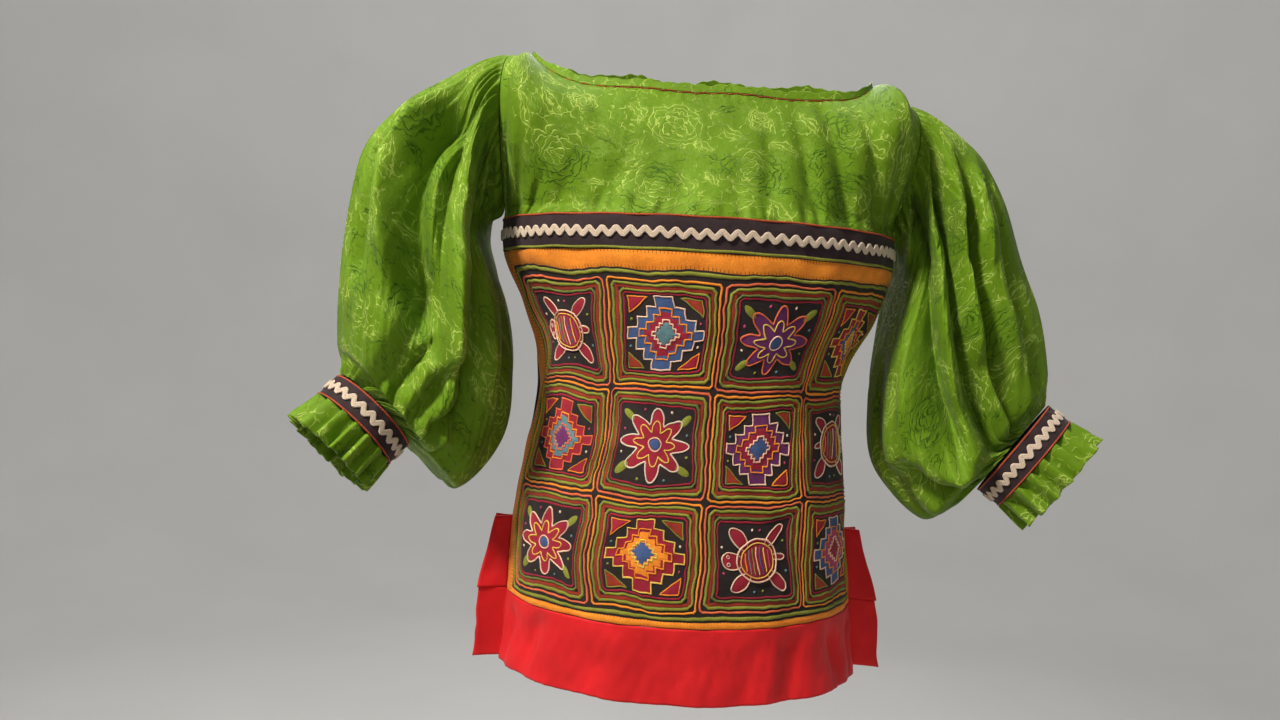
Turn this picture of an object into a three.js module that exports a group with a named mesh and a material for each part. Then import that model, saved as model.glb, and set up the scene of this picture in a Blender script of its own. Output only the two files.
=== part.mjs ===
// A mola blouse in the form it has when worn: a wide-necked yoke and two puffed sleeves of
// green satin damask, a dark chest band with a wavy braid, a sewn picture panel front and back,
// and a red hem with open side vents.
//
// Millimetres, +Z up. The origin is the middle of the neck opening, level with the front
// neckline. The front faces -Y. "left" and "right" are as seen from the front, so left is -X.
import * as THREE from "three";

// Cloth and seams
const CLOTH = 2; // thickness of every cloth sheet
const SEAM = 0.3; // gap between two pieces that are sewn together
const BRAID = 1.2; // thickness of the wavy braid
const PIPING = 1.4; // thickness of the narrow piping
const PIPING_WIDTH = 2.2;

// Heights of the seams round the body
const NECK_Z = { front: -8, back: 25 };
const ARMHOLE_LOW_Z = -104;
const BAND_TOP_Z = -112;
const BAND_LOW_Z = -139;
const VENT_TOP_Z = -367; // the side seam is open below this
const PANEL_LOW_Z = -427;
const HEM_Z = -486;

// Each shoulder seam, from the neck's corner to the top of the armhole. The garment hangs a
// little lower on its right.
const SHOULDER = {
  left: { neckX: 152, neckZ: 26, armX: 165, armZ: 26 },
  right: { neckX: 141, neckZ: 20, armX: 164, armZ: 6 },
};
const NECK_HALF_DEPTH = { front: 70, back: 58 };
const YOKE_COLUMNS = 34;
const NECK_COLUMNS = 30;
const NECK_SHARE = NECK_COLUMNS / YOKE_COLUMNS; // the share of the yoke that the neck takes
const NECK_WAVE = { front: 0.8, back: 2.5 };
const ARMHOLE_HALF_DEPTH = 57;
const ARMHOLE_BULGE_X = 6; // how far the armhole's edge swells sideways at mid height
const ARMHOLE_BLEND = 0.16; // the share of the sleeve over which the armhole's form fades
const ARMHOLE_EASE = 0.8; // gap between the yoke's edge and the sleeve's
const SIDE_SEAM_SHARE = 0.08; // the foot of the yoke, closed at the side below the armhole

const BINDING_HEIGHT = 7;
const BINDING_SCALLOP = 1;
const BINDING_FOOT = 0.8; // the strip starts this far above the neckline

// The body at each height: half width, sideways shift of its middle, and half depths
const BODY = [
  { z: 0, wide: 162, x: 0, front: 74, back: 66 },
  { z: BAND_TOP_Z, wide: 169, x: 0, front: 117, back: 98 },
  { z: BAND_LOW_Z, wide: 168, x: 1, front: 118, back: 98 },
  { z: -180, wide: 153, x: 4, front: 114, back: 92 },
  { z: -220, wide: 137, x: 1, front: 108, back: 85 },
  { z: -260, wide: 133, x: -1, front: 106, back: 83 },
  { z: -320, wide: 140, x: -3, front: 110, back: 88 },
  { z: VENT_TOP_Z, wide: 145, x: -4, front: 113, back: 92 },
  { z: PANEL_LOW_Z, wide: 148, x: -2, front: 116, back: 96 },
  { z: HEM_Z, wide: 154, x: 0, front: 119, back: 100 },
];

// The side vents: how far the slit opens, and how far the red strips stand out beside it
const VENT_GAP = 11;
const HEM_TURN = 0.88; // the share of the hem band that lies on the body
const STRIP_FLARE = [
  { z: VENT_TOP_Z, out: 14 },
  { z: -395, out: 19 },
  { z: PANEL_LOW_Z, out: 25 },
  { z: HEM_Z, out: 24 },
];

// Each sleeve as sections from the armhole to the cuff. outX/outZ is the section's outer end,
// inX/inZ its inner end, deep its half depth, y its middle, lean its turn towards the front.
const SLEEVE = {
  left: [
    { at: 0, outX: 166, outZ: 26, inX: 171, inZ: -104, deep: 57, y: 0, lean: 0 },
    { at: 0.08, outX: 197, outZ: 16, inX: 179, inZ: -116, deep: 69, y: 0, lean: 0 },
    { at: 0.17, outX: 228, outZ: -2, inX: 180, inZ: -136, deep: 79, y: -2, lean: 0 },
    { at: 0.28, outX: 258, outZ: -24, inX: 171, inZ: -162, deep: 88, y: -5, lean: 0 },
    { at: 0.4, outX: 286, outZ: -60, inX: 157, inZ: -200, deep: 94, y: -9, lean: 0.05 },
    { at: 0.53, outX: 297, outZ: -115, inX: 151, inZ: -247, deep: 96, y: -14, lean: 0.1 },
    { at: 0.68, outX: 301, outZ: -178, inX: 157, inZ: -303, deep: 91, y: -21, lean: 0.18 },
    { at: 0.82, outX: 299, outZ: -224, inX: 192, inZ: -345, deep: 78, y: -29, lean: 0.28 },
    { at: 0.92, outX: 293, outZ: -238, inX: 210, inZ: -326, deep: 58, y: -35, lean: 0.36 },
    { at: 1, outX: 293, outZ: -251, inX: 236, inZ: -302, deep: 38, y: -40, lean: 0.4 },
  ],
  right: [
    { at: 0, outX: 165, outZ: 6, inX: 171, inZ: -104, deep: 57, y: 0, lean: 0 },
    { at: 0.08, outX: 189, outZ: -2, inX: 179, inZ: -116, deep: 67, y: 0, lean: 0 },
    { at: 0.17, outX: 213, outZ: -14, inX: 181, inZ: -138, deep: 78, y: -2, lean: 0 },
    { at: 0.28, outX: 240, outZ: -39, inX: 174, inZ: -166, deep: 87, y: -5, lean: 0 },
    { at: 0.4, outX: 259, outZ: -73, inX: 162, inZ: -206, deep: 93, y: -9, lean: 0.05 },
    { at: 0.53, outX: 275, outZ: -121, inX: 154, inZ: -254, deep: 95, y: -14, lean: 0.1 },
    { at: 0.68, outX: 294, outZ: -168, inX: 159, inZ: -311, deep: 91, y: -21, lean: 0.18 },
    { at: 0.82, outX: 304, outZ: -216, inX: 199, inZ: -354, deep: 79, y: -29, lean: 0.28 },
    { at: 0.92, outX: 302, outZ: -235, inX: 224, inZ: -343, deep: 60, y: -35, lean: 0.36 },
    { at: 1, outX: 301, outZ: -248, inX: 247, inZ: -318, deep: 44, y: -40, lean: 0.4 },
  ],
};

// The long valleys pressed into each sleeve. from and to are degrees round the sleeve at its
// two ends, 0 being the outer edge and 90 the front; start and end are shares of its length.
const SLEEVE_FOLDS = {
  left: [
    { from: 26, to: 20, start: 0.02, end: 0.72, wide: 7, deep: 9 },
    { from: 52, to: 44, start: 0.05, end: 0.8, wide: 9, deep: 9 },
    { from: 84, to: 74, start: 0.02, end: 0.86, wide: 13, deep: 17 },
    { from: 126, to: 104, start: 0.02, end: 0.8, wide: 9, deep: 11 },
    { from: 60, to: 60, start: 0.68, end: 1, wide: 9, deep: 10 },
    { from: 92, to: 92, start: 0.62, end: 1, wide: 9, deep: 12 },
    { from: 124, to: 124, start: 0.55, end: 1, wide: 9, deep: 12 },
    { from: 160, to: 152, start: 0.3, end: 0.95, wide: 10, deep: 10 },
    { from: 205, to: 200, start: 0.3, end: 1, wide: 10, deep: 9 },
    { from: 240, to: 236, start: 0.03, end: 0.98, wide: 11, deep: 12 },
    { from: 278, to: 272, start: 0.02, end: 0.9, wide: 12, deep: 12 },
    { from: 316, to: 308, start: 0.03, end: 1, wide: 9, deep: 9 },
  ],
  right: [
    { from: 20, to: 22, start: 0.03, end: 0.84, wide: 7, deep: 8 },
    { from: 44, to: 46, start: 0.03, end: 0.94, wide: 8, deep: 12 },
    { from: 70, to: 70, start: 0.02, end: 0.95, wide: 9, deep: 14 },
    { from: 98, to: 94, start: 0.02, end: 0.9, wide: 9, deep: 14 },
    { from: 128, to: 112, start: 0.02, end: 0.8, wide: 8, deep: 11 },
    { from: 124, to: 128, start: 0.6, end: 1, wide: 10, deep: 14 },
    { from: 158, to: 156, start: 0.4, end: 0.96, wide: 10, deep: 11 },
    { from: 205, to: 202, start: 0.3, end: 1, wide: 10, deep: 9 },
    { from: 240, to: 238, start: 0.03, end: 0.98, wide: 11, deep: 12 },
    { from: 278, to: 274, start: 0.02, end: 0.9, wide: 12, deep: 12 },
    { from: 316, to: 310, start: 0.03, end: 1, wide: 9, deep: 9 },
  ],
};

// Soft troughs in the body cloth. across is the share of the half width, z the middle,
// slant the drift across for each 100 mm up, wide and tall the reach of each.
const YOKE_FOLDS = [
  { across: -0.88, z: -95, slant: 0.05, wide: 0.035, tall: 45, deep: 4 },
  { across: -0.74, z: -100, slant: -0.05, wide: 0.035, tall: 34, deep: 3.5 },
  { across: -0.55, z: -100, slant: 0, wide: 0.04, tall: 30, deep: 2 },
  { across: -0.34, z: -104, slant: 0, wide: 0.04, tall: 34, deep: 2 },
  { across: -0.12, z: -104, slant: 0, wide: 0.04, tall: 38, deep: 2.2 },
  { across: 0.14, z: -96, slant: 0.06, wide: 0.04, tall: 44, deep: 3.5 },
  { across: 0.31, z: -88, slant: 0.05, wide: 0.035, tall: 46, deep: 3 },
  { across: 0.47, z: -74, slant: 0.06, wide: 0.045, tall: 64, deep: 4.5 },
  { across: 0.64, z: -80, slant: 0.05, wide: 0.045, tall: 60, deep: 4.5 },
  { across: 0.8, z: -86, slant: 0.08, wide: 0.04, tall: 52, deep: 4 },
];
const PANEL_FOLDS = [
  { across: -0.78, z: -212, slant: 0.35, wide: 0.12, tall: 60, deep: 5 },
  { across: 0.74, z: -205, slant: -0.35, wide: 0.12, tall: 56, deep: 5 },
  { across: 0.9, z: -330, slant: 0.1, wide: 0.06, tall: 80, deep: 2.5 },
  { across: -0.42, z: -300, slant: 0.2, wide: 0.1, tall: 90, deep: 1.6 },
];
const HEM_FOLDS = [
  { across: -0.62, z: -446, slant: 0.15, wide: 0.05, tall: 38, deep: 3 },
  { across: -0.2, z: -470, slant: -0.1, wide: 0.09, tall: 40, deep: 1.8 },
  { across: 0.3, z: -460, slant: 0.1, wide: 0.09, tall: 46, deep: 1.8 },
  { across: 0.66, z: -440, slant: -0.1, wide: 0.05, tall: 40, deep: 3 },
];

// The cuff: a dark band, then a pleated frill
const CUFF_START = CLOTH / 2 + 0.8;
const CUFF_HEIGHT = 22;
const CUFF_GROW = 1.025; // the band sits just outside the sleeve's gathered end
const FRILL_START = CUFF_START + CUFF_HEIGHT + SEAM;
const FRILL_LENGTH = 27;
const FRILL_FLARE = 0.08; // growth of the frill's radius at its edge
const PLEATS = 16;
const PLEAT_DEPTH = 4.5;

// The wavy braid
const WAVE_LENGTH = 9.8;
const WAVE_SWING = 1.7;
const WAVE_HALF_WIDTH = 2.6;
const BRAID_REACH = 0.93; // the share of the chest band that the braid and piping run along

const COLOURS = {
  damask: { color: "#6f9f1e", roughness: 0.42, metalness: 0 },
  bandCloth: { color: "#2b1417", roughness: 0.8, metalness: 0 },
  braid: { color: "#d9bb9c", roughness: 0.8, metalness: 0 },
  rust: { color: "#a53a12", roughness: 0.75, metalness: 0 },
  leaf: { color: "#7f8d35", roughness: 0.75, metalness: 0 },
  orange: { color: "#e2751a", roughness: 0.75, metalness: 0 },
  red: { color: "#c8141c", roughness: 0.6, metalness: 0 },
};

const group = new THREE.Group();

const mix = (a, b, share) => a + (b - a) * share;
const clamp = (value) => Math.min(1, Math.max(0, value));
const smooth = (low, high, value) => {
  const share = clamp((value - low) / (high - low));
  return share * share * (3 - 2 * share);
};
const bell = (value) => Math.exp(-value * value);

// One column of a table at a key value, on a smooth curve through the rows.
function read(rows, key, value, column) {
  const rising = rows[rows.length - 1][key] > rows[0][key];
  const ahead = (row) => (rising ? row[key] > value : row[key] < value);
  let next = rows.findIndex(ahead);
  if (next < 0) next = rows.length - 1;
  next = Math.max(1, next);
  const slope = (index) => {
    const low = rows[Math.max(0, index - 1)];
    const high = rows[Math.min(rows.length - 1, index + 1)];
    return (high[column] - low[column]) / (high[key] - low[key]);
  };
  const [a, b] = [rows[next - 1], rows[next]];
  const span = b[key] - a[key];
  const t = clamp((value - a[key]) / span);
  return (
    (2 * t ** 3 - 3 * t ** 2 + 1) * a[column] +
    (t ** 3 - 2 * t ** 2 + t) * span * slope(next - 1) +
    (3 * t ** 2 - 2 * t ** 3) * b[column] +
    (t ** 3 - t ** 2) * span * slope(next)
  );
}

// How far the troughs of a table press the cloth in at a place on the body.
function pressed(folds, across, z) {
  return folds.reduce((total, fold) => {
    const middle = fold.across + (fold.slant * (z - fold.z)) / 100;
    const sideways = bell((across - middle) / fold.wide);
    return total + fold.deep * sideways * bell((z - fold.z) / fold.tall);
  }, 0);
}

// A closed sheet of cloth over surface(u, v), u from row to row and v along each. Seen from
// outside, v runs to the right where u runs down. Its two faces stand at lift and
// lift + thick from the surface, outwards. side, 1 or -1, keeps it on its side of Y = 0.
function sheet(surface, rows, columns, options = {}) {
  const { closed = false, thick = CLOTH, lift = -CLOTH / 2, side = 0 } = options;
  const step = 1e-3;
  const across = closed ? columns : columns + 1;
  const points = [];
  const face = (offset) => {
    const first = points.length;
    for (const u of rows) {
      for (let j = 0; j < across; j++) {
        const v = j / columns;
        const along = surface(Math.min(1, u + step), v).sub(surface(Math.max(0, u - step), v));
        const beside = closed
          ? surface(u, v + step).sub(surface(u, v - step))
          : surface(u, Math.min(1, v + step)).sub(surface(u, Math.max(0, v - step)));
        const outward = along.cross(beside).normalize();
        const point = surface(u, v).addScaledVector(outward, offset);
        if (side) point.y = side * Math.max(SEAM / 2, side * point.y);
        points.push(point);
      }
    }
    return first;
  };
  const inner = face(lift);
  const outer = face(lift + thick);
  const last = rows.length - 1;
  const index = [];
  const quad = (a, b, c, d) => index.push(a, b, c, a, c, d);
  const at = (start, i, j) => start + i * across + (j % across);
  for (let i = 0; i < last; i++) {
    for (let j = 0; j < columns; j++) {
      quad(at(outer, i, j), at(outer, i + 1, j), at(outer, i + 1, j + 1), at(outer, i, j + 1));
      quad(at(inner, i, j), at(inner, i, j + 1), at(inner, i + 1, j + 1), at(inner, i + 1, j));
    }
    if (!closed) {
      quad(at(outer, i, 0), at(inner, i, 0), at(inner, i + 1, 0), at(outer, i + 1, 0));
      const end = columns;
      quad(at(outer, i, end), at(outer, i + 1, end), at(inner, i + 1, end), at(inner, i, end));
    }
  }
  for (let j = 0; j < columns; j++) {
    quad(at(outer, 0, j), at(outer, 0, j + 1), at(inner, 0, j + 1), at(inner, 0, j));
    quad(at(outer, last, j), at(inner, last, j), at(inner, last, j + 1), at(outer, last, j + 1));
  }
  const geometry = new THREE.BufferGeometry().setFromPoints(points).setIndex(index);
  if (volumeOf(points, index) < 0) geometry.index.array.reverse();
  geometry.computeVertexNormals();
  return geometry;
}

function volumeOf(points, index) {
  let volume = 0;
  for (let i = 0; i < index.length; i += 3) {
    const [a, b, c] = [points[index[i]], points[index[i + 1]], points[index[i + 2]]];
    volume += a.dot(b.clone().cross(c)) / 6;
  }
  return volume;
}

const evenly = (count) => Array.from({ length: count + 1 }, (_, i) => i / count);

function add(name, geometry, colour) {
  const mesh = new THREE.Mesh(geometry, new THREE.MeshStandardMaterial(COLOURS[colour]));
  mesh.name = name;
  group.add(mesh);
}

// face is "front" or "back"; away is the Y direction that it looks in.
const away = { front: -1, back: 1 };

// A point of the body cloth. across runs from -1 at the left side seam to 1 at the right.
function body(face, across, z, folds = []) {
  const angle = (across * Math.PI) / 2;
  const press = pressed(folds, across, z);
  const wide = read(BODY, "z", z, "wide") - press;
  const deep = read(BODY, "z", z, face) - press;
  const half = SEAM / 2;
  return new THREE.Vector3(
    read(BODY, "z", z, "x") + wide * Math.sin(angle),
    away[face] * Math.max(half, half + (deep - half) * Math.cos(angle)),
    z,
  );
}

// The yoke: height runs from 0 at the chest band to 1 at the neck and the shoulder seam.
function yoke(face, across, height) {
  const side = Math.abs(across);
  const neck = Math.min(1, side / NECK_SHARE);
  const past = Math.max(0, (side - NECK_SHARE) / (1 - NECK_SHARE));
  const angle = (across * Math.PI) / 2;
  const rise = clamp((height - SIDE_SEAM_SHARE) / (1 - SIDE_SEAM_SHARE));

  const foot = body(face, across, BAND_TOP_Z);
  const seam = across < 0 ? SHOULDER.left : SHOULDER.right;
  const wave = NECK_WAVE[face] * Math.sin(across * 13) * (1 - neck ** 4);
  const topZ = mix(mix(NECK_Z[face] + wave, seam.neckZ, neck ** 7), seam.armZ, past);
  const topX = Math.sign(across) * mix(seam.neckX * neck, seam.armX, past);
  const topY = NECK_HALF_DEPTH[face] * Math.cbrt(1 - neck ** 3);

  const arm = neck ** 2.4; // how much of the armhole's form the cloth has here
  const swell = Math.sin(Math.PI * rise);
  const seamZ = BAND_TOP_Z + SEAM / 2;
  const straight = mix(seamZ, topZ, height);
  const curved =
    height < SIDE_SEAM_SHARE
      ? mix(seamZ, ARMHOLE_LOW_Z, height / SIDE_SEAM_SHARE)
      : mix(ARMHOLE_LOW_Z, topZ, Math.sin((Math.PI / 2) * rise));
  const z = mix(straight, curved, arm);
  const press = face === "front" ? pressed(YOKE_FOLDS, across, z) : 0;
  const depth = mix(Math.abs(foot.y), topY, height) + ARMHOLE_HALF_DEPTH * arm * swell - press;
  return new THREE.Vector3(
    mix(foot.x, topX, height) + ARMHOLE_BULGE_X * Math.sin(angle) * arm * swell,
    away[face] * Math.max(SEAM / 2, depth),
    z,
  );
}

// The standing strip round the neck, from the neckline (0) to its scalloped edge (1).
function binding(face, neck, height) {
  const edge = yoke(face, neck * NECK_SHARE * 0.995, 1);
  const end = Math.abs(neck) ** 4;
  const up = new THREE.Vector3(-0.25 * Math.sign(neck) * end, -away[face] * 0.3 * (1 - end), 1);
  const wave = BINDING_SCALLOP * Math.sin(neck * 31) * height;
  const foot = BINDING_FOOT + 1.1 * end;
  edge.y = away[face] * Math.max(CLOTH * 0.75, Math.abs(edge.y));
  return edge.addScaledVector(up.normalize(), foot + (BINDING_HEIGHT + wave) * height);
}

// The vent opens below the side seam, so the cloth's edge draws back from the side there.
function ventGap(z) {
  return VENT_GAP * smooth(VENT_TOP_Z, PANEL_LOW_Z, z) * (z < VENT_TOP_Z ? 1 : 0);
}

function ventedBody(face, across, z, folds) {
  const point = body(face, across, z, folds);
  const side = Math.abs(across) ** 6;
  point.y += away[face] * ventGap(z) * side;
  return point;
}

// The hem band runs past the side edge of the body in a flat flare.
function hemBand(face, across, z) {
  const side = Math.abs(across);
  if (side <= HEM_TURN) return ventedBody(face, across / HEM_TURN, z, HEM_FOLDS);
  const share = (side - HEM_TURN) / (1 - HEM_TURN);
  const turn = ventedBody(face, Math.sign(across), z, HEM_FOLDS);
  return flare(face, turn, Math.sign(across), share, z);
}

function flare(face, edge, side, share, z) {
  const out = read(STRIP_FLARE, "z", z, "out");
  edge.x += side * out * share;
  edge.y += away[face] * (2 + 3 * share) * share;
  return edge;
}

// A closed section of a sleeve or cuff. turn is 0 at the outer edge and 1/4 at the front.
function loop(row, side, turn, grow = 1) {
  const outer = new THREE.Vector3(side * row.outX, row.y, row.outZ);
  const inner = new THREE.Vector3(side * row.inX, row.y, row.inZ);
  const middle = outer.clone().add(inner).multiplyScalar(0.5);
  const half = outer.sub(inner).multiplyScalar(0.5);
  const along = new THREE.Vector3(-half.z, 0, half.x).normalize().multiplyScalar(-side);
  const deep = new THREE.Vector3(0, 1, 0).addScaledVector(along, row.lean).normalize();
  const angle = 2 * Math.PI * turn;
  return middle
    .addScaledVector(half, grow * Math.cos(angle))
    .addScaledVector(deep, -grow * row.deep * Math.sin(angle));
}

function sleeveRow(name, at) {
  const columns = ["outX", "outZ", "inX", "inZ", "deep", "y", "lean"];
  return Object.fromEntries(columns.map((key) => [key, read(SLEEVE[name], "at", at, key)]));
}

const SIDES = { left: -1, right: 1 };

function sleeve(name, at, turn) {
  const side = SIDES[name];
  const around = turn - Math.floor(turn);
  const row = sleeveRow(name, at);
  const round = loop(row, side, around);

  const face = around <= 0.5 ? "front" : "back";
  const fromTop = around <= 0.5 ? around * 2 : 2 - around * 2;
  const height = mix(1, SIDE_SEAM_SHARE, fromTop);
  const edge = yoke(face, side, height);
  edge.x += side * (CLOTH / 2 + ARMHOLE_EASE);
  const start = loop(sleeveRow(name, 0), side, around);
  edge.add(round.clone().sub(start));
  const point = edge.lerp(round, smooth(0, ARMHOLE_BLEND, at));

  const centre = loop(row, side, 0).add(loop(row, side, 0.5)).multiplyScalar(0.5);
  const inward = centre.sub(point).normalize();
  return point.addScaledVector(inward, foldDepth(SLEEVE_FOLDS[name], at, around * 360));
}

function foldDepth(folds, at, degrees) {
  return folds.reduce((total, fold) => {
    const middle = mix(fold.from, fold.to, at);
    const off = ((degrees - middle + 540) % 360) - 180;
    const ease = 0.14 * (fold.end - fold.start) + 0.04;
    const begun = smooth(fold.start, fold.start + ease, at);
    const ended = 1 - smooth(fold.end - ease, fold.end, at) * (fold.end < 1 ? 1 : 0.75);
    return total + fold.deep * bell(off / fold.wide) * begun * ended;
  }, 0);
}

// Places on the cuff, distance millimetres beyond the sleeve's end.
function cuff(name, distance, turn, grow = 1) {
  const side = SIDES[name];
  const row = sleeveRow(name, 1);
  const point = loop(row, side, turn, grow);
  return point.addScaledVector(cuffAxis(row, side), distance);
}

function cuffAxis(row, side) {
  const outer = loop(row, side, 0);
  const half = outer.clone().sub(loop(row, side, 0.5));
  const deep = loop(row, side, 0.75).sub(loop(row, side, 0.25));
  return half.cross(deep).normalize().multiplyScalar(-side);
}

function frill(name, share, turn) {
  const place = turn * PLEATS - Math.floor(turn * PLEATS);
  const valley = smooth(0.52, 0.72, place) * (1 - smooth(0.84, 1, place));
  const point = cuff(name, FRILL_START + FRILL_LENGTH * share, turn, CUFF_GROW + FRILL_FLARE * share);
  const centre = cuff(name, FRILL_START + FRILL_LENGTH * share, 0, 0);
  const inward = centre.sub(point).normalize();
  return point.addScaledVector(inward, PLEAT_DEPTH * valley * mix(0.1, 1, share));
}

// A braid along a path, as a zigzag of straight runs between its crests.
function braid(surface, length, closed) {
  const waves = Math.round(length / WAVE_LENGTH);
  const rows = [0, 1];
  const runs = waves * 2;
  const wave = (across, along) => {
    const crest = along * runs;
    const swing = 1 - 2 * Math.abs((((crest % 2) + 2) % 2) - 1);
    return surface(along, WAVE_SWING * swing + WAVE_HALF_WIDTH * (1 - 2 * across));
  };
  return sheet(wave, rows, runs, { closed, thick: BRAID, lift: CLOTH / 2 + SEAM });
}

function buildBody(face) {
  const spread = (v) => -away[face] * (2 * v - 1);
  const side = away[face];
  const yokeRows = evenly({ front: 8, back: 6 }[face]).map((u) => u * (1 - SIDE_SEAM_SHARE));
  const onYoke = (u, v) => yoke(face, spread(v), 1 - u);
  add(`yoke_${face}`, sheet(onYoke, [...yokeRows, 1], YOKE_COLUMNS, { side }), "damask");
  const collar = (u, v) => binding(face, spread(v), 1 - u);
  add(`neck_binding_${face}`, sheet(collar, [0, 1], NECK_COLUMNS, { side }), "damask");

  const bandZ = (u) => mix(BAND_TOP_Z - SEAM / 2, BAND_LOW_Z + SEAM / 2, u);
  const band = (u, v) => body(face, spread(v), bandZ(u));
  add(`chest_band_${face}`, sheet(band, [0, 1], 28, { side }), "bandCloth");

  const onBand = { thick: PIPING, lift: CLOTH / 2 + SEAM };
  const piping = (middle) => (u, v) =>
    body(face, BRAID_REACH * spread(v), middle + PIPING_WIDTH * (0.5 - u));
  const topPiping = sheet(piping(BAND_TOP_Z - PIPING_WIDTH), [0, 1], 24, onBand);
  add(`chest_piping_top_${face}`, topPiping, "rust");
  const lowPiping = sheet(piping(BAND_LOW_Z + PIPING_WIDTH), [0, 1], 24, onBand);
  add(`chest_piping_low_${face}`, lowPiping, "leaf");

  const chestLength = 440 * BRAID_REACH;
  const middleZ = (BAND_TOP_Z + BAND_LOW_Z) / 2;
  const onChest = (along, up) => body(face, BRAID_REACH * spread(along), middleZ + up);
  add(`rick_rack_${face}`, braid(onChest, chestLength, false), "braid");

  const panelTop = BAND_LOW_Z - SEAM / 2;
  const panelLow = PANEL_LOW_Z + SEAM / 2;
  const panelFolds = face === "front" ? PANEL_FOLDS : [];
  const panel = (u, v) => ventedBody(face, spread(v), mix(panelTop, panelLow, u), panelFolds);
  const panelGrid = { front: [12, 22], back: [8, 16] }[face];
  add(`mola_panel_${face}`, sheet(panel, evenly(panelGrid[0]), panelGrid[1], { side }), "orange");

  const hemTop = PANEL_LOW_Z - SEAM / 2;
  const hem = (u, v) => hemBand(face, spread(v), mix(hemTop, HEM_Z, u));
  add(`hem_band_${face}`, sheet(hem, evenly(3), 26), "red");

  for (const [name, hand] of Object.entries(SIDES)) {
    const strip = (u, v) => {
      const z = mix(VENT_TOP_Z, PANEL_LOW_Z + SEAM / 2, u);
      const edge = ventedBody(face, hand, z, []);
      edge.x += hand * (CLOTH / 2 + SEAM);
      edge.y += side * (CLOTH / 2 + SEAM);
      return flare(face, edge, hand, v, z);
    };
    add(`side_strip_${name}_${face}`, sheet(strip, evenly(4), 2), "red");
  }
}

function buildSleeve(name) {
  const round = (v) => 1 - SIDES[name] * v;
  const onSleeve = (u, v) => sleeve(name, u, round(v));
  add(`sleeve_${name}`, sheet(onSleeve, evenly(15), 40, { closed: true }), "damask");

  const bandAt = (u, v) => cuff(name, CUFF_START + CUFF_HEIGHT * u, round(v), CUFF_GROW);
  add(`cuff_band_${name}`, sheet(bandAt, [0, 1], 28, { closed: true }), "bandCloth");

  const onCuff = { closed: true, thick: PIPING, lift: CLOTH / 2 + SEAM };
  const piping = (middle) => (u, v) =>
    cuff(name, middle + PIPING_WIDTH * (u - 0.5), round(v), CUFF_GROW);
  const topPiping = sheet(piping(CUFF_START + PIPING_WIDTH), [0, 1], 28, onCuff);
  add(`cuff_piping_top_${name}`, topPiping, "rust");
  const lowPiping = sheet(piping(CUFF_START + CUFF_HEIGHT - PIPING_WIDTH), [0, 1], 28, onCuff);
  add(`cuff_piping_low_${name}`, lowPiping, "rust");

  const row = sleeveRow(name, 1);
  const across = loop(row, SIDES[name], 0).distanceTo(loop(row, SIDES[name], 0.5));
  const cuffLength = (Math.PI * (across + 2 * row.deep)) / 2;
  const middle = CUFF_START + CUFF_HEIGHT / 2;
  const onBand = (along, up) => cuff(name, middle - up, round(along), CUFF_GROW);
  add(`rick_rack_cuff_${name}`, braid(onBand, cuffLength, true), "braid");

  const frillAt = (u, v) => frill(name, u, round(v));
  add(`cuff_frill_${name}`, sheet(frillAt, evenly(2), PLEATS * 3, { closed: true }), "damask");
}

for (const face of ["front", "back"]) buildBody(face);
for (const name of Object.keys(SIDES)) buildSleeve(name);

export default group;
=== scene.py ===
"""A mola blouse: green damask yoke and puffed sleeves, dark bands with a wavy braid, a picture panel
sewn in many layers, and a red hem. Shapes are worked out in millimetres in the model's own frame
(X to the right, Y away from the front, Z up) and become metres when a mesh is made."""
import math

import bpy
import numpy as np
from mathutils import Matrix, Vector


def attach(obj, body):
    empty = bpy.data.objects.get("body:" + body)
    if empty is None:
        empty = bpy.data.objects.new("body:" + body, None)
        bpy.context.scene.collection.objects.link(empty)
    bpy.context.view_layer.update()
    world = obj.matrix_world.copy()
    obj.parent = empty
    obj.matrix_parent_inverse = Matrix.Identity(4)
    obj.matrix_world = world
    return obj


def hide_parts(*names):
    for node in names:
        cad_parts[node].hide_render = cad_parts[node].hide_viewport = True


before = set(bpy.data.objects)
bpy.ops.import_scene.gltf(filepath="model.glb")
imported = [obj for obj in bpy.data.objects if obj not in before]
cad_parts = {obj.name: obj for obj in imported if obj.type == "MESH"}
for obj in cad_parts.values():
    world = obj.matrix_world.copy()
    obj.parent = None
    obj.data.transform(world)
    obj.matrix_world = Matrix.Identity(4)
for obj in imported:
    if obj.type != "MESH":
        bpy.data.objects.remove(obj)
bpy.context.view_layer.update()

AWAY = {"front": -1.0, "back": 1.0}
SIDES = {"left": -1.0, "right": 1.0}

# Seams and edges of the garment
SEAM = 0.3
NECK_Z = {"front": -8.0, "back": 25.0}
ARMHOLE_LOW_Z = -104.0
BAND_TOP_Z = -112.0
BAND_LOW_Z = -139.0
VENT_TOP_Z = -367.0
PANEL_LOW_Z = -427.0
HEM_Z = -486.0
# The ends of each shoulder seam: x and z at the neck, then at the arm
SHOULDER = {"left": (152.0, 26.0, 165.0, 26.0), "right": (141.0, 20.0, 164.0, 6.0)}
NECK_HALF_DEPTH = {"front": 70.0, "back": 58.0}
NECK_SHARE = 30 / 34
NECK_WAVE = {"front": 0.8, "back": 2.5}
BINDING_HEIGHT = 7.0
ARMHOLE_HALF_DEPTH = 57.0
ARMHOLE_BULGE_X = 6.0
ARMHOLE_BLEND = 0.16
SIDE_SEAM_SHARE = 0.08
SLEEVE_OUT = 0.95
VENT_GAP = 11.0
STRIP_OUT = 1.3
HEM_TURN = 0.88

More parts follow.
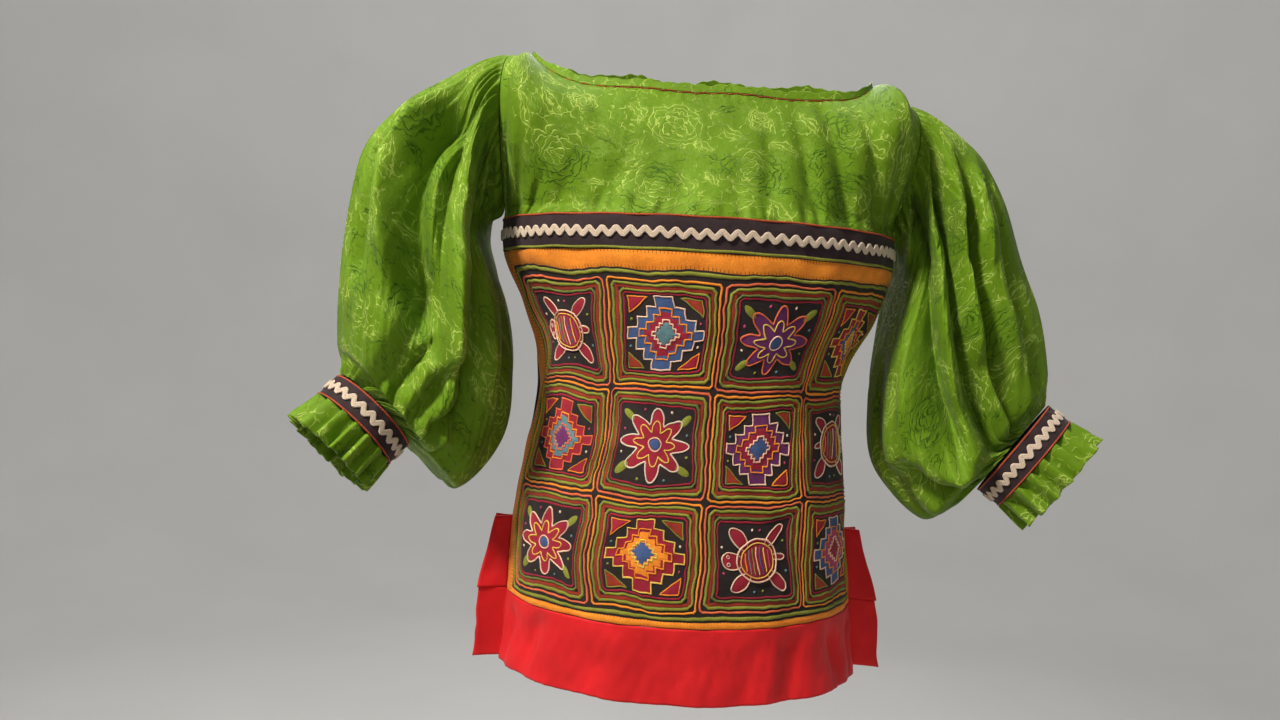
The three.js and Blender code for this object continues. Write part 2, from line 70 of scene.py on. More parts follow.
# The body: z, half width, sideways shift, half depth in front, half depth behind
BODY = np.array([
    (0, 162, 0, 74, 66),
    (-112, 169, 0, 117, 98),
    (-139, 168, 1, 118, 98),
    (-180, 153, 4, 114, 92),
    (-220, 137, 1, 108, 85),
    (-260, 133, -1, 106, 83),
    (-320, 140, -3, 110, 88),
    (-367, 145, -4, 113, 92),
    (-427, 148, -2, 116, 96),
    (-486, 154, 0, 119, 100),
], float)
STRIP_FLARE = np.array([(-367, 14), (-395, 19), (-427, 25), (-486, 24)], float)

# The sleeves: share of the length, outer x and z, inner x and z, half depth, middle y, lean
SLEEVE = {"left": np.array([
    (0, 166, 26, 171, -104, 57, 0, 0),
    (0.08, 197, 16, 179, -116, 69, 0, 0),
    (0.17, 228, -2, 180, -136, 79, -2, 0),
    (0.28, 258, -24, 171, -162, 88, -5, 0),
    (0.4, 286, -60, 157, -200, 94, -9, 0.05),
    (0.53, 297, -115, 151, -247, 96, -14, 0.1),
    (0.68, 301, -178, 157, -303, 91, -21, 0.18),
    (0.82, 299, -224, 192, -345, 78, -29, 0.28),
    (0.92, 293, -238, 210, -326, 58, -35, 0.36),
    (1, 293, -251, 236, -302, 38, -40, 0.4),
], float), "right": np.array([
    (0, 165, 6, 171, -104, 57, 0, 0),
    (0.08, 189, -2, 179, -116, 67, 0, 0),
    (0.17, 213, -14, 181, -138, 78, -2, 0),
    (0.28, 240, -39, 174, -166, 87, -5, 0),
    (0.4, 259, -73, 162, -206, 93, -9, 0.05),
    (0.53, 275, -121, 154, -254, 95, -14, 0.1),
    (0.68, 294, -168, 159, -311, 91, -21, 0.18),
    (0.82, 304, -216, 199, -354, 79, -29, 0.28),
    (0.92, 302, -235, 224, -343, 60, -35, 0.36),
    (1, 301, -248, 247, -318, 44, -40, 0.4),
], float)}

# Folds of each sleeve: sharp creases or round hollows and ridges, their reach in degrees towards the
# outer and the inner edge, their depth (below 0 for a ridge), and the line that each follows: shares
# of the length, then degrees round from the outer edge at each. FOLD_SCALE deepens all of a kind.
SHARP, ROUND = 0, 1
FOLD_SCALE = {SHARP: 1.12, ROUND: 1.15}
FOLDS = {"left": [
    (ROUND, 16, 14, 33, (0.06, 0.2, 0.3, 0.4, 0.53, 0.68), (66, 64, 66, 72, 82, 84)),
    (ROUND, 7, 7, -9, (0.1, 0.25, 0.36, 0.5, 0.64), (44, 44, 45, 57, 70)),
    (SHARP, 3.5, 6, 13, (0.26, 0.42, 0.54, 0.68), (34, 36, 36, 35)),
    (SHARP, 12, 3, 18, (0, 0.07, 0.12, 0.16, 0.25, 0.44, 0.6, 0.7), (80, 85, 84, 94, 101, 101, 100, 98)),
    (ROUND, 7, 6, -13, (0, 0.04, 0.1, 0.17, 0.34, 0.47, 0.58, 0.72), (92, 101, 106, 116, 116, 112, 111, 113)),
    (SHARP, 2.5, 17, 32, (0, 0.03, 0.09, 0.18, 0.43, 0.54, 0.66, 0.8),
     (104, 119, 129, 137, 126, 123, 124, 130)),
    (SHARP, 3, 12, 13, (0, 0.05, 0.12, 0.34), (122, 146, 160, 160)),
    (ROUND, 7, 7, -5.2, (0.22, 0.43, 0.64), (150, 146, 146)),
    (SHARP, 2.5, 9, 15.9, (0.57, 0.63, 0.71, 0.8, 1), (85, 80, 74, 64, 52)),
    (SHARP, 2.5, 8, 15.9, (0.59, 0.65, 0.7, 0.78, 1), (102, 93, 84, 76, 80)),
    (SHARP, 2.5, 8, 17.4, (0.56, 0.61, 0.68, 0.73, 0.8, 1), (121, 117, 106, 100, 95, 108)),
    (SHARP, 2.5, 8, 17.4, (0.64, 0.68, 0.73, 0.77, 0.85, 1), (129, 125, 121, 114, 116, 132)),
    (SHARP, 2.5, 8, 15.9, (0.74, 0.79, 0.86, 1), (136, 131, 128, 158)),
    (ROUND, 9, 9, 11.2, (0.3, 0.6, 1), (172, 166, 178)),
    (SHARP, 8, 5, 14.5, (0.25, 0.6, 1), (208, 203, 200)),
    (SHARP, 9, 5, 18.8, (0, 0.4, 1), (238, 240, 236)),
    (SHARP, 10, 5, 18.8, (0, 0.5, 1), (278, 276, 270)),
    (SHARP, 5, 8, 14.5, (0, 0.5, 1), (318, 312, 306)),
    (ROUND, 8, 8, -6.5, (0, 0.5, 1), (258, 258, 252)),
    (ROUND, 7, 7, 7, (0, 0.3, 0.62), (350, 346, 340)),
], "right": [
    (SHARP, 9, 6, 43, (0, 0.05, 0.11, 0.21, 0.34, 0.45, 0.54, 0.71, 0.84),
     (127, 143, 147, 147, 136, 127, 121, 116, 118)),
    (SHARP, 9, 6, 41, (0, 0.07, 0.14, 0.23, 0.35, 0.46, 0.55, 0.65, 0.8, 1),
     (88, 102, 106, 111, 104, 97, 93, 90, 91, 96)),
    (SHARP, 8, 6, 38, (0.12, 0.2, 0.27, 0.38, 0.47, 0.57, 0.74, 0.83, 1),
     (58, 65, 75, 75, 68, 64, 61, 58, 56)),
    (ROUND, 6, 6, -7.8, (0, 0.16, 0.28, 0.4, 0.57, 0.7), (155, 170, 158, 146, 137, 136)),
    (ROUND, 6, 6, -6.5, (0.02, 0.1, 0.16, 0.28, 0.41, 0.5, 0.6, 0.8),
     (116, 122, 127, 124, 114, 108, 104, 104)),
    (ROUND, 6, 6, -6.5, (0.08, 0.14, 0.21, 0.3, 0.43, 0.52, 0.7), (74, 82, 91, 93, 84, 80, 76)),
    (ROUND, 5, 5, -5.2, (0.2, 0.31, 0.41, 0.5, 0.6, 0.78), (50, 63, 62, 57, 52, 48)),
    (SHARP, 5, 4, 15, (0.22, 0.45, 0.6, 0.9), (42, 42, 38, 34)),
    (SHARP, 3, 9, 22, (0.68, 0.75, 0.79, 0.83, 0.95), (148, 144, 138, 130, 126)),
    (ROUND, 6, 6, -6.5, (0.66, 0.75, 0.82, 0.9), (132, 130, 120, 108)),
    (SHARP, 5, 3, 13, (0.6, 0.67, 0.76, 0.92, 1), (81, 80, 79, 78, 78)),
    (SHARP, 4, 3, 8.7, (0.82, 1), (68, 68)),
    (SHARP, 5, 3, 10.2, (0.8, 1), (108, 113)),
    (SHARP, 5, 3, 11.6, (0.84, 1), (142, 146)),
    (ROUND, 9, 9, 11.2, (0.35, 0.6, 1), (172, 168, 172)),
    (SHARP, 8, 5, 14.5, (0.25, 0.6, 1), (206, 203, 200)),
    (SHARP, 9, 5, 18.8, (0, 0.4, 1), (240, 241, 238)),
    (SHARP, 10, 5, 18.8, (0, 0.5, 1), (278, 277, 274)),
    (SHARP, 5, 8, 14.5, (0, 0.5, 1), (318, 313, 310)),
    (ROUND, 8, 8, -6.5, (0, 0.5, 1), (259, 259, 256)),
    (ROUND, 7, 7, 7, (0, 0.3, 0.62), (350, 352, 352)),
]}

# Soft troughs of the body cloth: share across, z, drift across for 100 mm up, reach across,
# reach in z, depth
YOKE_FOLDS = [
    (-0.9, -92, 0.05, 0.035, 50, 7), (-0.76, -98, -0.05, 0.03, 36, 6), (-0.66, -102, 0.1, 0.03, 26, 4),
    (-0.52, -102, 0, 0.035, 28, 3), (-0.34, -104, 0, 0.035, 30, 3), (-0.12, -104, 0, 0.035, 34, 3),
    (0.05, -102, 0.04, 0.03, 30, 3), (0.17, -96, 0.06, 0.035, 46, 6), (0.32, -88, 0.05, 0.03, 50, 5),
    (0.47, -74, 0.06, 0.04, 66, 8), (0.63, -80, 0.05, 0.035, 62, 7), (0.77, -86, 0.08, 0.035, 54, 7),
]
PANEL_FOLDS = [
    (-0.78, -212, 0.35, 0.12, 60, 5), (0.74, -205, -0.35, 0.12, 56, 5),
    (0.9, -330, 0.1, 0.06, 80, 2.5), (-0.42, -300, 0.2, 0.1, 90, 1.6),
]
HEM_FOLDS = [
    (-0.82, -450, 0.1, 0.04, 34, 3), (-0.62, -446, 0.15, 0.05, 38, 4), (-0.38, -476, 0.1, 0.06, 30, 2.5),
    (-0.1, -470, -0.1, 0.07, 36, 2.5), (0.16, -476, 0.1, 0.05, 30, 2), (0.36, -460, 0.1, 0.07, 44, 2.8),
    (0.6, -442, -0.1, 0.045, 42, 4), (0.8, -450, 0.1, 0.04, 36, 3),
]

# The cuffs, measured from the end of the sleeve, and their frills
CUFF_START = 1.8
CUFF_HEIGHT = 22.0
CUFF_GROW = 1.025
FRILL_START = CUFF_START + CUFF_HEIGHT + SEAM
FRILL_LENGTH = 27.0
FRILL_FLARE = 0.08
PLEATS = 16
PLEAT_DEPTH = 9.5

# Trimmings. A profile is a line across a strip: share of the half width, share of the height.
STITCH = 2.7
BAND_THICK = 1.6
WAVE_LENGTH = 9.8
WAVE_SWING = 2.35
BRAID_WIDTH = 4.3
BRAID_HEIGHT = 1.1
BRAID_LIFT = 1.25
BRAID_PROFILE = ((-1, 0), (-1, 0.7), (-0.7, 1), (-0.3, 0.85), (0, 1), (0.3, 0.85), (0.7, 1),
                 (1, 0.7), (1, 0))
CORD_PROFILE = ((-1, 0), (-0.75, 0.7), (0, 1), (0.75, 0.7), (1, 0))
RIBBON_PROFILE = {"front": ((-1, 0), (-0.62, 0.8), (0, 1), (0.62, 0.8), (1, 0)),
                  "back": ((-1, 0), (0, 1), (1, 0))}

# The woven roses and leaves in one tile of the damask, in metres: middle, radius or length, turn
DAMASK_TILE = (0.150, 0.140)
ROSE_RINGS = 6
ROSES = ((0.036, 0.040, 0.029, 0.4), (0.108, 0.064, 0.026, 1.9), (0.046, 0.108, 0.023, 3.1),
         (0.118, 0.118, 0.012, 2.2))
LEAVES = ((0.070, 0.022, 0.014, 0.5), (0.072, 0.086, 0.012, -0.7), (0.012, 0.078, 0.014, 1.3),
          (0.076, 0.056, 0.010, 1.9), (0.092, 0.104, 0.014, 2.5), (0.138, 0.092, 0.013, -0.5),
          (0.086, 0.128, 0.012, 0.3), (0.014, 0.118, 0.012, -1.1), (0.126, 0.022, 0.015, 2.2),
          (0.098, 0.024, 0.012, 0.9), (0.138, 0.044, 0.009, -0.2))
LEAF_FAT = 0.38

# The picture panel laid flat: its size, its border, and its blocks
PANEL_WIDTH = 430.0
PANEL_HEIGHT = 288.0
BORDER = {"left": 28.0, "right": 17.0, "top": 13.5, "low": 5.0}
BLOCK_LEFT, BLOCK_TOP = -179.5, 20.5
BLOCK_WIDTH, BLOCK_HEIGHT = 92.5, 85.5
# The ribbons round a block: inset, width, height, cut of the corners, colour on even and odd blocks
FRAMES = (
    (1.9, 1.9, 0.9, 2, ("coral", "orange")),
    (5.4, 2.5, 1.15, 3, ("leaf", "leaf")),
    (8.0, 2.6, 0.12, 0, ("rust", "rust")),
    (10.4, 2.1, 1.1, 3, ("olive", "leaf")),
    (12.9, 1.7, 0.6, 2, ("crimson", "crimson")),
)
DOT_COLOURS = ("cream", "leaf", "pink", "teal")
DOTS = {
    "turtle": ((-29, -11), (29, -11), (-29, 11), (29, 11), (-4, -24.5), (4, 24.5), (4, -24.5), (-4, 24.5)),
    "diamond": ((-28, -9.5), (28, -9.5), (-28, 9.5), (28, 9.5)),
    "flower": ((-28, -9), (28, -9), (-28, 9), (28, 9), (-11, -25.5), (11, 25.5), (11, -25.5), (-11, 25.5)),
}
# What each block shows: the motif, the way a turtle faces or the fills, and last the edging
PICTURES = {
    "front": (
        ("turtle left skin", "diamond blue crimson teal skin", "flower purple coral",
         "diamond crimson blue orange yellow"),
        ("diamond crimson teal purple coral", "flower crimson cream", "diamond purple crimson blue skin",
         "turtle right cream"),
        ("flower crimson skin", "diamond crimson orange blue yellow", "turtle left skin",
         "diamond blue pink crimson skin"),
    ),
    "back": (
        ("flower crimson cream", "diamond teal crimson yellow skin", "turtle right cream",
         "diamond crimson purple orange cream"),
        ("turtle left skin", "flower purple yellow", "diamond blue crimson orange skin", "flower pink skin"),
        ("diamond crimson blue teal yellow", "turtle right cream", "flower crimson skin",
         "diamond purple orange crimson cream"),
    ),
}

COLOURS = {
    "green": (0.122, 0.225, 0.010),
    "dark": (0.016, 0.009, 0.008),
    "band": (0.024, 0.010, 0.012),
    "cream": (0.72, 0.56, 0.42),
    "orange": (0.92, 0.25, 0.014),
    "coral": (0.72, 0.13, 0.045),
    "flame": (0.42, 0.060, 0.014),
    "leaf": (0.23, 0.235, 0.022),
    "olive": (0.13, 0.15, 0.022),
    "rust": (0.30, 0.026, 0.008),
    "crimson": (0.30, 0.008, 0.024),
    "blue": (0.045, 0.085, 0.21),
    "teal": (0.10, 0.20, 0.22),
    "purple": (0.13, 0.018, 0.10),
    "yellow": (0.78, 0.50, 0.08),
    "pink": (0.46, 0.045, 0.12),
    "skin": (0.82, 0.52, 0.36),
    "red": (0.68, 0.011, 0.015),
}

# The camera: place in metres, turn to the right, tilt down and roll, and focal length in pixels
CAMERA_PLACE = (-0.1036, -0.8437, -0.200)
IMAGE_WIDTH, FOCAL_LENGTH = 1280, 966
CAMERA_YAW, CAMERA_PITCH, CAMERA_ROLL = math.radians(3.92), math.atan(30 / FOCAL_LENGTH), math.radians(3)


# Numbers and vectors

def mix(a, b, share):
    return a + (b - a) * share


def clamp(value):
    return np.clip(value, 0, 1)


def smooth(low, high, value):
    share = clamp((value - low) / (high - low))
    return share * share * (3 - 2 * share)


def bell(value):
    return np.exp(-value * value)


def together(*values):
    """Numbers or arrays as arrays of one shape."""
    return np.broadcast_arrays(*(np.asarray(value, float) for value in values))


def unit(vectors):
    return vectors / (np.linalg.norm(vectors, axis=-1, keepdims=True) + 1e-12)


def run(points, axis=0):
    """The distance covered from the first point along an axis of a grid of points."""
    steps = np.linalg.norm(np.diff(points, axis=axis), axis=-1)
    return np.insert(np.cumsum(steps, axis), 0, 0, axis)


def ripple(u, v, seed, waves=9):
    """Smooth seeded noise, about -1 to 1, with waves near one unit long."""
    rng = np.random.default_rng(seed)
    total = 0
    for _ in range(waves):
        angle, speed, phase = rng.uniform(0, math.tau), rng.uniform(0.6, 2.2), rng.uniform(0, 6.3)
        total = total + np.sin(math.tau * speed * (u * math.cos(angle) + v * math.sin(angle)) + phase)
    return total / waves**0.5 / 1.4


def read(rows, value, column):
    """One column of a table at values of its first column, on a smooth curve through the rows."""
    rows = rows if rows[-1, 0] > rows[0, 0] else rows[::-1]
    key, data = rows[:, 0], rows[:, column]
    index = np.arange(len(key))
    after, before = np.minimum(index + 1, index[-1]), np.maximum(index - 1, 0)
    slope = (data[after] - data[before]) / (key[after] - key[before])
    b = np.clip(np.searchsorted(key, value, side="right"), 1, len(key) - 1)
    a = b - 1
    span = key[b] - key[a]
    t = clamp((value - key[a]) / span)
    bend = span * t * (1 - t) * ((1 - t) * slope[a] - t * slope[b])
    return mix(data[a], data[b], t * t * (3 - 2 * t)) + bend


# The shapes, as points for places on them

def pressed(folds, across, z):
    """How deep the soft troughs of a table press the cloth in."""
    total = 0
    for at, middle, slant, wide, tall, deep in folds:
        centre = at + slant * (z - middle) / 100
        total = total + deep * bell((across - centre) / wide) * bell((z - middle) / tall)
    return total


def body(face, across, z, press=0.0):
    """A point of the body cloth. across runs from -1 at the left side seam to 1 at the right."""
    across, z = together(across, z)
    angle = across * math.pi / 2
    deep = read(BODY, z, 3 if face == "front" else 4) - press
    x = read(BODY, z, 2) + (read(BODY, z, 1) - press) * np.sin(angle)
    y = AWAY[face] * (SEAM / 2 + np.maximum(0, (deep - SEAM / 2) * np.cos(angle)))
    return np.stack([x, y, z], -1)


def vented(face, across, z, press=0.0):
    """A point of the body cloth, where front and back part above the hem."""
    point = body(face, across, z, press)
    gap = VENT_GAP * smooth(VENT_TOP_Z, PANEL_LOW_Z, z) * (np.asarray(z) < VENT_TOP_Z)
    point[..., 1] += AWAY[face] * gap * np.abs(across) ** 6
    return point


def yoke(face, across, height, press=0.0):
    """A point of the yoke. height runs from 0 at the chest band to 1 at the neck and shoulder."""
    across, height = together(across, height)
    side = np.abs(across)
    neck = np.minimum(1, side / NECK_SHARE)
    past = np.maximum(0, (side - NECK_SHARE) / (1 - NECK_SHARE))
    rise = clamp((height - SIDE_SEAM_SHARE) / (1 - SIDE_SEAM_SHARE))
    foot = body(face, across, BAND_TOP_Z)
    neck_x, neck_z, arm_x, arm_z = (np.where(across < 0, a, b) for a, b in zip(*SHOULDER.values()))
    wave = NECK_WAVE[face] * np.sin(across * 13) * (1 - neck**4)
    top_z = mix(mix(NECK_Z[face] + wave, neck_z, neck**7), arm_z, past)
    top_x = np.sign(across) * mix(neck_x * neck, arm_x, past)
    top_y = NECK_HALF_DEPTH[face] * np.cbrt(1 - neck**3)
    arm = neck**2.4
    swell = arm * np.sin(math.pi * rise)
    seam_z = BAND_TOP_Z + SEAM / 2
    curved = np.where(height < SIDE_SEAM_SHARE,
                      mix(seam_z, ARMHOLE_LOW_Z, height / SIDE_SEAM_SHARE),
                      mix(ARMHOLE_LOW_Z, top_z, np.sin(math.pi / 2 * rise)))
    z = mix(mix(seam_z, top_z, height), curved, arm)
    depth = mix(np.abs(foot[..., 1]), top_y, height) + ARMHOLE_HALF_DEPTH * swell - press
    x = mix(foot[..., 0], top_x, height) + ARMHOLE_BULGE_X * np.sin(across * math.pi / 2) * swell
    return np.stack([x, AWAY[face] * np.maximum(SEAM / 2, depth), z], -1)


def section(name, at, turn):
    """A closed section of a sleeve, before its folds. turn is 0 outside and 1/4 in front."""
    at, turn = together(at, turn)
    side = SIDES[name]
    out_x, out_z, in_x, in_z, deep, y, lean = (read(SLEEVE[name], at, k) for k in range(1, 8))
    outer = np.stack([side * out_x, y, out_z], -1)
    inner = np.stack([side * in_x, y, in_z], -1)
    half = (outer - inner) / 2
    along = unit(side * np.stack([half[..., 2], 0 * y, -half[..., 0]], -1))
    back = unit(np.array([0.0, 1.0, 0.0]) + along * lean[..., None])
    angle = math.tau * turn[..., None]
    return (outer + inner) / 2 + half * np.cos(angle) - back * deep[..., None] * np.sin(angle)


def fold_depth(name, at, degrees):
    """How deep a sleeve's folds press it in; each eases in and out over the ends of its line."""
    total = 0
    for kind, outwards, inwards, deep, shares, turns in FOLDS[name]:
        off = (degrees - np.interp(at, shares, turns) + 540) % 360 - 180
        reach = np.where(off < 0, outwards, inwards)
        shape = bell(off / reach) if kind == ROUND else 1 - (1 - np.exp(-np.abs(off) / reach)) ** 2
        start, end = shares[0], shares[-1]
        ease = 0.16 * (end - start) + 0.03
        begun = smooth(start - 0.001, start + ease, at)
        ended = 1 - smooth(end - ease, end + 0.001, at) * (1 if end < 0.98 else 0.45)
        total = total + FOLD_SCALE[kind] * deep * shape * begun * ended
    return total


def sleeve(name, at, turn):
    """A point of a sleeve with its folds, gathered at the armhole and at the cuff."""
    at, turn = together(at, turn)
    side = SIDES[name]
    around = turn % 1.0
    round_ = section(name, at, around)
    front = around <= 0.5
    height = mix(1, SIDE_SEAM_SHARE, np.where(front, around * 2, 2 - around * 2))
    edge = np.where(front[..., None], yoke("front", side, height), yoke("back", side, height))
    edge[..., 0] += side * SLEEVE_OUT
    edge = edge + round_ - section(name, 0, around)
    point = mix(edge, round_, smooth(0, ARMHOLE_BLEND, at)[..., None])

    seed = {"left": 11, "right": 12}[name]
    degrees, angle = around * 360, math.tau * around
    x, y = 1.6 * np.cos(angle), 1.6 * np.sin(angle)
    crease = 1.1 * ripple(x * 3 + at, y * 3, seed) + 0.7 * ripple(x * 7, y * 7 + at * 2, seed + 5)
    gather = np.sin(degrees * 0.55 + 2.2 * ripple(x, y, seed + 9))
    tight = np.sin(degrees * 0.62 + 2.4 * ripple(x, y, seed + 3))
    press = (fold_depth(name, at, degrees)
             + crease * smooth(0, 0.1, at) * (1 - smooth(0.9, 1, at))
             + 1.8 * gather * (1 - smooth(0.02, 0.2, at)) * smooth(0, 0.015, at)
             + 2.2 * tight * smooth(0.78, 0.96, at) * (1 - 0.6 * smooth(0.96, 1, at)))
    centre = (section(name, at, 0) + section(name, at, 0.5)) / 2
    return point + unit(centre - point) * press[..., None]


def cuff(name, distance, turn, grow=CUFF_GROW):
    """A point round the cuff, distance millimetres beyond the sleeve's end."""
    distance, turn, grow = together(distance, turn, grow)
    outer, front, inner, back = (section(name, 1, k / 4) for k in range(4))
    axis = unit(np.cross(outer - inner, back - front)) * -SIDES[name]
    angle = math.tau * turn[..., None]
    round_ = (outer - inner) / 2 * np.cos(angle) - (back - front) / 2 * np.sin(angle)
    return (outer + inner) / 2 + round_ * grow[..., None] + axis * distance[..., None]


# Meshes

def add_object(name, data):
    thing = bpy.data.objects.new(name, data)
    bpy.context.scene.collection.objects.link(thing)
    return thing


def make_mesh(name, points, faces, uvs, stuff, nodes=()):
    """A piece from points in millimetres, with one pair of uvs in metres for each. stuff is a
    material and a slot name; the slot name is not used."""
    mesh = bpy.data.meshes.new(name)
    mesh.from_pydata((points.reshape(-1, 3) / 1000).tolist(), [], faces)
    corner = np.empty(len(mesh.loops), dtype=np.int64)
    mesh.loops.foreach_get("vertex_index", corner)
    mesh.uv_layers.new(name="UVMap").data.foreach_set("uv", uvs.reshape(-1, 2)[corner].ravel())
    mesh.polygons.foreach_set("use_smooth", [True] * len(mesh.polygons))
    material, slot = stuff
    mesh.materials.append(material)
    mesh.update()
    piece = add_object(name, mesh)
    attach(piece, "root")
    if nodes:
        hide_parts(*nodes)
    return piece


def grid_faces(rows, columns, closed=False, first=0):
    """Faces between the points of a grid; closed joins its last row to its first."""
    index = first + np.arange(rows * columns).reshape(rows, columns)
    after = np.roll(index, -1, 0)
    if not closed:
        index, after = index[:-1], after[:-1]
    return np.stack([index[:, :-1], index[:, 1:], after[:, 1:], after[:, :-1]], -1).reshape(-1, 4).tolist()


def cloth(name, surface, rows, columns, stuff, nodes, closed=False, thick=1.0):
    """A sheet over surface(u, v) as one mesh with a solidify. Its UVs are metres measured on the
    cloth itself. A closed sheet has a seam in them, so its first column is there twice."""
    points = surface(np.linspace(0, 1, rows + 1)[:, None], np.linspace(0, 1, columns + 1)[None, :])
    u, v = run(points, 0), run(points, 1)
    v -= v[:, v.shape[1] // 2, None]
    v = mix(v.mean(0), v, 0.0 if closed else 0.5)
    uvs = np.stack(together(v, -u.mean(1, keepdims=True)), -1) / 1000
    piece = make_mesh(name, points, grid_faces(rows + 1, columns + 1), uvs, stuff, nodes)
    if closed:
        piece.modifiers.new("close", "WELD").merge_threshold = 1e-5
    if thick:
        solid = piece.modifiers.new("thickness", "SOLIDIFY")
        solid.thickness, solid.offset = thick / 1000, 0.0
    return piece


def strip_along(name, line, beside, normal, width, height, stuff, nodes=(), pinch=0.0,
                profile=CORD_PROFILE):
    """A strip laid along a line, spread to both sides along beside and raised along normal. pinch
    draws it in at each stitch."""
    along = run(line)
    grow = 1 - pinch * (1 - np.abs(np.sin(math.pi * along / STITCH)))[:, None]
    grid = np.stack([line + (beside * side * width / 2 + normal * up * height) * grow
                     for side, up in profile], 1)
    uvs = np.stack(together(along[:, None] / 1000, np.linspace(0, 1, len(profile))), -1)
    return make_mesh(name, grid, grid_faces(len(line), len(profile)), uvs, stuff, nodes)


# Materials

def arithmetic(kind):
    return lambda value, *others: value.shader.math(kind, value, *others)


class Value:
    """What a shader node gives out. Arithmetic on it adds the nodes that work it out."""

    __add__, __sub__, __mul__ = arithmetic("ADD"), arithmetic("SUBTRACT"), arithmetic("MULTIPLY")
    __truediv__, __abs__ = arithmetic("DIVIDE"), arithmetic("ABSOLUTE")

    def __init__(self, shader, socket):
        self.shader, self.socket = shader, socket

    def __rsub__(self, other):
        return self.shader.math("SUBTRACT", other, self)


class Shader:
    """Builds a material's nodes: each call adds one and returns what it gives out."""

    def __init__(self, name):
        self.material = bpy.data.materials.new(name)
        self.material.use_nodes = True
        self.tree = self.material.node_tree
        self.uv = self.node("TexCoord", {}, "UV")
        self.place = self.node("TexCoord", {}, "Object")

    def node(self, kind, inputs, output=0, **settings):
        node = self.tree.nodes.new("ShaderNode" + kind)
        for key, value in settings.items():
            setattr(node, key, value)
        self.put(node, inputs)
        return Value(self, node.outputs[output])

    def put(self, node, inputs):
        """Gives a node's inputs their values, or links them."""
        for key, value in inputs.items():
            socket = node.inputs[key]
            if isinstance(value, Value):
                self.tree.links.new(value.socket, socket)
            else:
                socket.default_value = (*value, 1.0) if socket.type == "RGBA" else value

    def math(self, operation, *values):
        return self.node("Math", dict(enumerate(values)), operation=operation)

    def sine(self, value):
        return self.math("SINE", value)

    def among(self, operation, values):
        """The MINIMUM or MAXIMUM of many values."""
        found = values[0]
        for value in values[1:]:
            found = self.math(operation, found, value)
        return found

    def split(self, vector):
        outputs = self.node("SeparateXYZ", {0: vector}).socket.node.outputs
        return Value(self, outputs[0]), Value(self, outputs[1])

    def join(self, x, y):
        return self.node("CombineXYZ", {0: x, 1: y})

    def noise(self, vector, scale, detail, rough=0.5, output="Fac", flat=False):
        inputs = {"Vector": vector, "Scale": scale, "Detail": detail, "Roughness": rough}
        return self.node("TexNoise", inputs, output, noise_dimensions="2D" if flat else "3D")

    def ramp(self, value, low, high, out_low=0.0, out_high=1.0):
        inputs = dict(enumerate((value, low, high, out_low, out_high)))
        return self.node("MapRange", inputs, interpolation_type="SMOOTHSTEP")

    def blend(self, share, a, b):
        return self.node("Mix", {0: share, 6: a, 7: b}, 2, data_type="RGBA")

    def bump(self, height, strength, distance, before=None):
        inputs = {"Height": height, "Strength": strength, "Distance": distance}
        return self.node("Bump", inputs if before is None else {**inputs, "Normal": before})

    def finish(self, colour, rough, normal, **constants):
        inputs = {"Base Color": colour, "Roughness": rough, "Normal": normal}
        inputs.update({key.replace("_", " "): value for key, value in constants.items()})
        self.put(self.tree.nodes["Principled BSDF"], inputs)
        return self.material


def tinted(colour, by, more=0.0):
    return tuple(min(1.0, x * by + more) for x in colour)


def weave(s, threads_per_mm):
    """Height of a plain weave over UVs in metres."""
    u, v = s.split(s.uv)
    beat = math.pi * 1000 * threads_per_mm
    return s.sine(u * beat) * s.sine(v * beat)


def cotton(name, colour, threads_per_mm, sewn=False):
    """Plain woven cotton. A sewn ribbon shows its stitches; its U runs along it in metres and its V
    across it from 0 to 1."""
    s = Shader(name)
    broad = s.noise(s.place, 55.0, 4.0, 0.6)
    fine = s.noise(s.place, 900.0, 3.0, 0.6)
    tone = s.ramp(broad * 0.6 + fine * 0.4, 0.3, 0.7)
    base = s.blend(tone, tinted(colour, 0.72), tinted(colour, 1.224, 0.006))
    height = weave(s, threads_per_mm)
    if sewn:
        u, v = s.split(s.uv)
        beat = abs(s.sine(u * (math.pi * 1000 / STITCH)))
        shaded_pit = s.ramp(beat, 0.86, 1.0) * s.ramp(abs(v - 0.5), 0.18, 0.42)
        # Painted shade: each stitch pit is darkened in colour as well as pressed in by the bump.
        base = s.blend(shaded_pit * 0.75, base, tinted(colour, 0.18))
        height = height - shaded_pit * 5.0
    pucker = s.noise(s.place, 240.0, 3.0, 0.55)
    normal = s.bump(pucker, 0.35, 0.0012, s.bump(height, 0.35, 0.0002))
    return s.finish(base, s.ramp(fine, 0.2, 0.8, 0.76, 0.9), normal,
                    Sheen_Weight=0.06, Sheen_Roughness=0.45, Specular_IOR_Level=0.3)


def rose(s, x, y, cx, cy, radius, turn):
    """One rose of a woven pattern: rings of petals, one petal edge to a ring. Gives the distance to
    the nearest edge, the painted shade just outside each edge, and 1 inside the rose."""
    dx, dy = x - cx, y - cy
    reach = s.math("SQRT", dx * dx + dy * dy) * (ROSE_RINGS / radius)
    ring = s.math("MINIMUM", s.math("FLOOR", reach), ROSE_RINGS - 1.0)
    angle = s.math("ARCTAN2", dy, dx) + turn
    petals = s.math("CEIL", s.math("MULTIPLY_ADD", ring, 0.5, 1.0))
    lobe = abs(s.sine(s.math("MULTIPLY_ADD", ring, 1.7, angle * petals)))
    beyond = reach - (ring + s.math("MULTIPLY_ADD", lobe, 0.75, 0.1))
    inside = s.ramp(reach / ROSE_RINGS, 0.85, 1.05, 1.0, 0.0)
    # Painted shade: a dark band just outside each petal edge, as if each ring of petals lay over the next.
    painted_shade = s.ramp(beyond, 0.0, 0.08) * s.ramp(beyond, 0.08, 0.8, 1.0, 0.0)
    return abs(beyond) * (radius / ROSE_RINGS), painted_shade * inside, inside


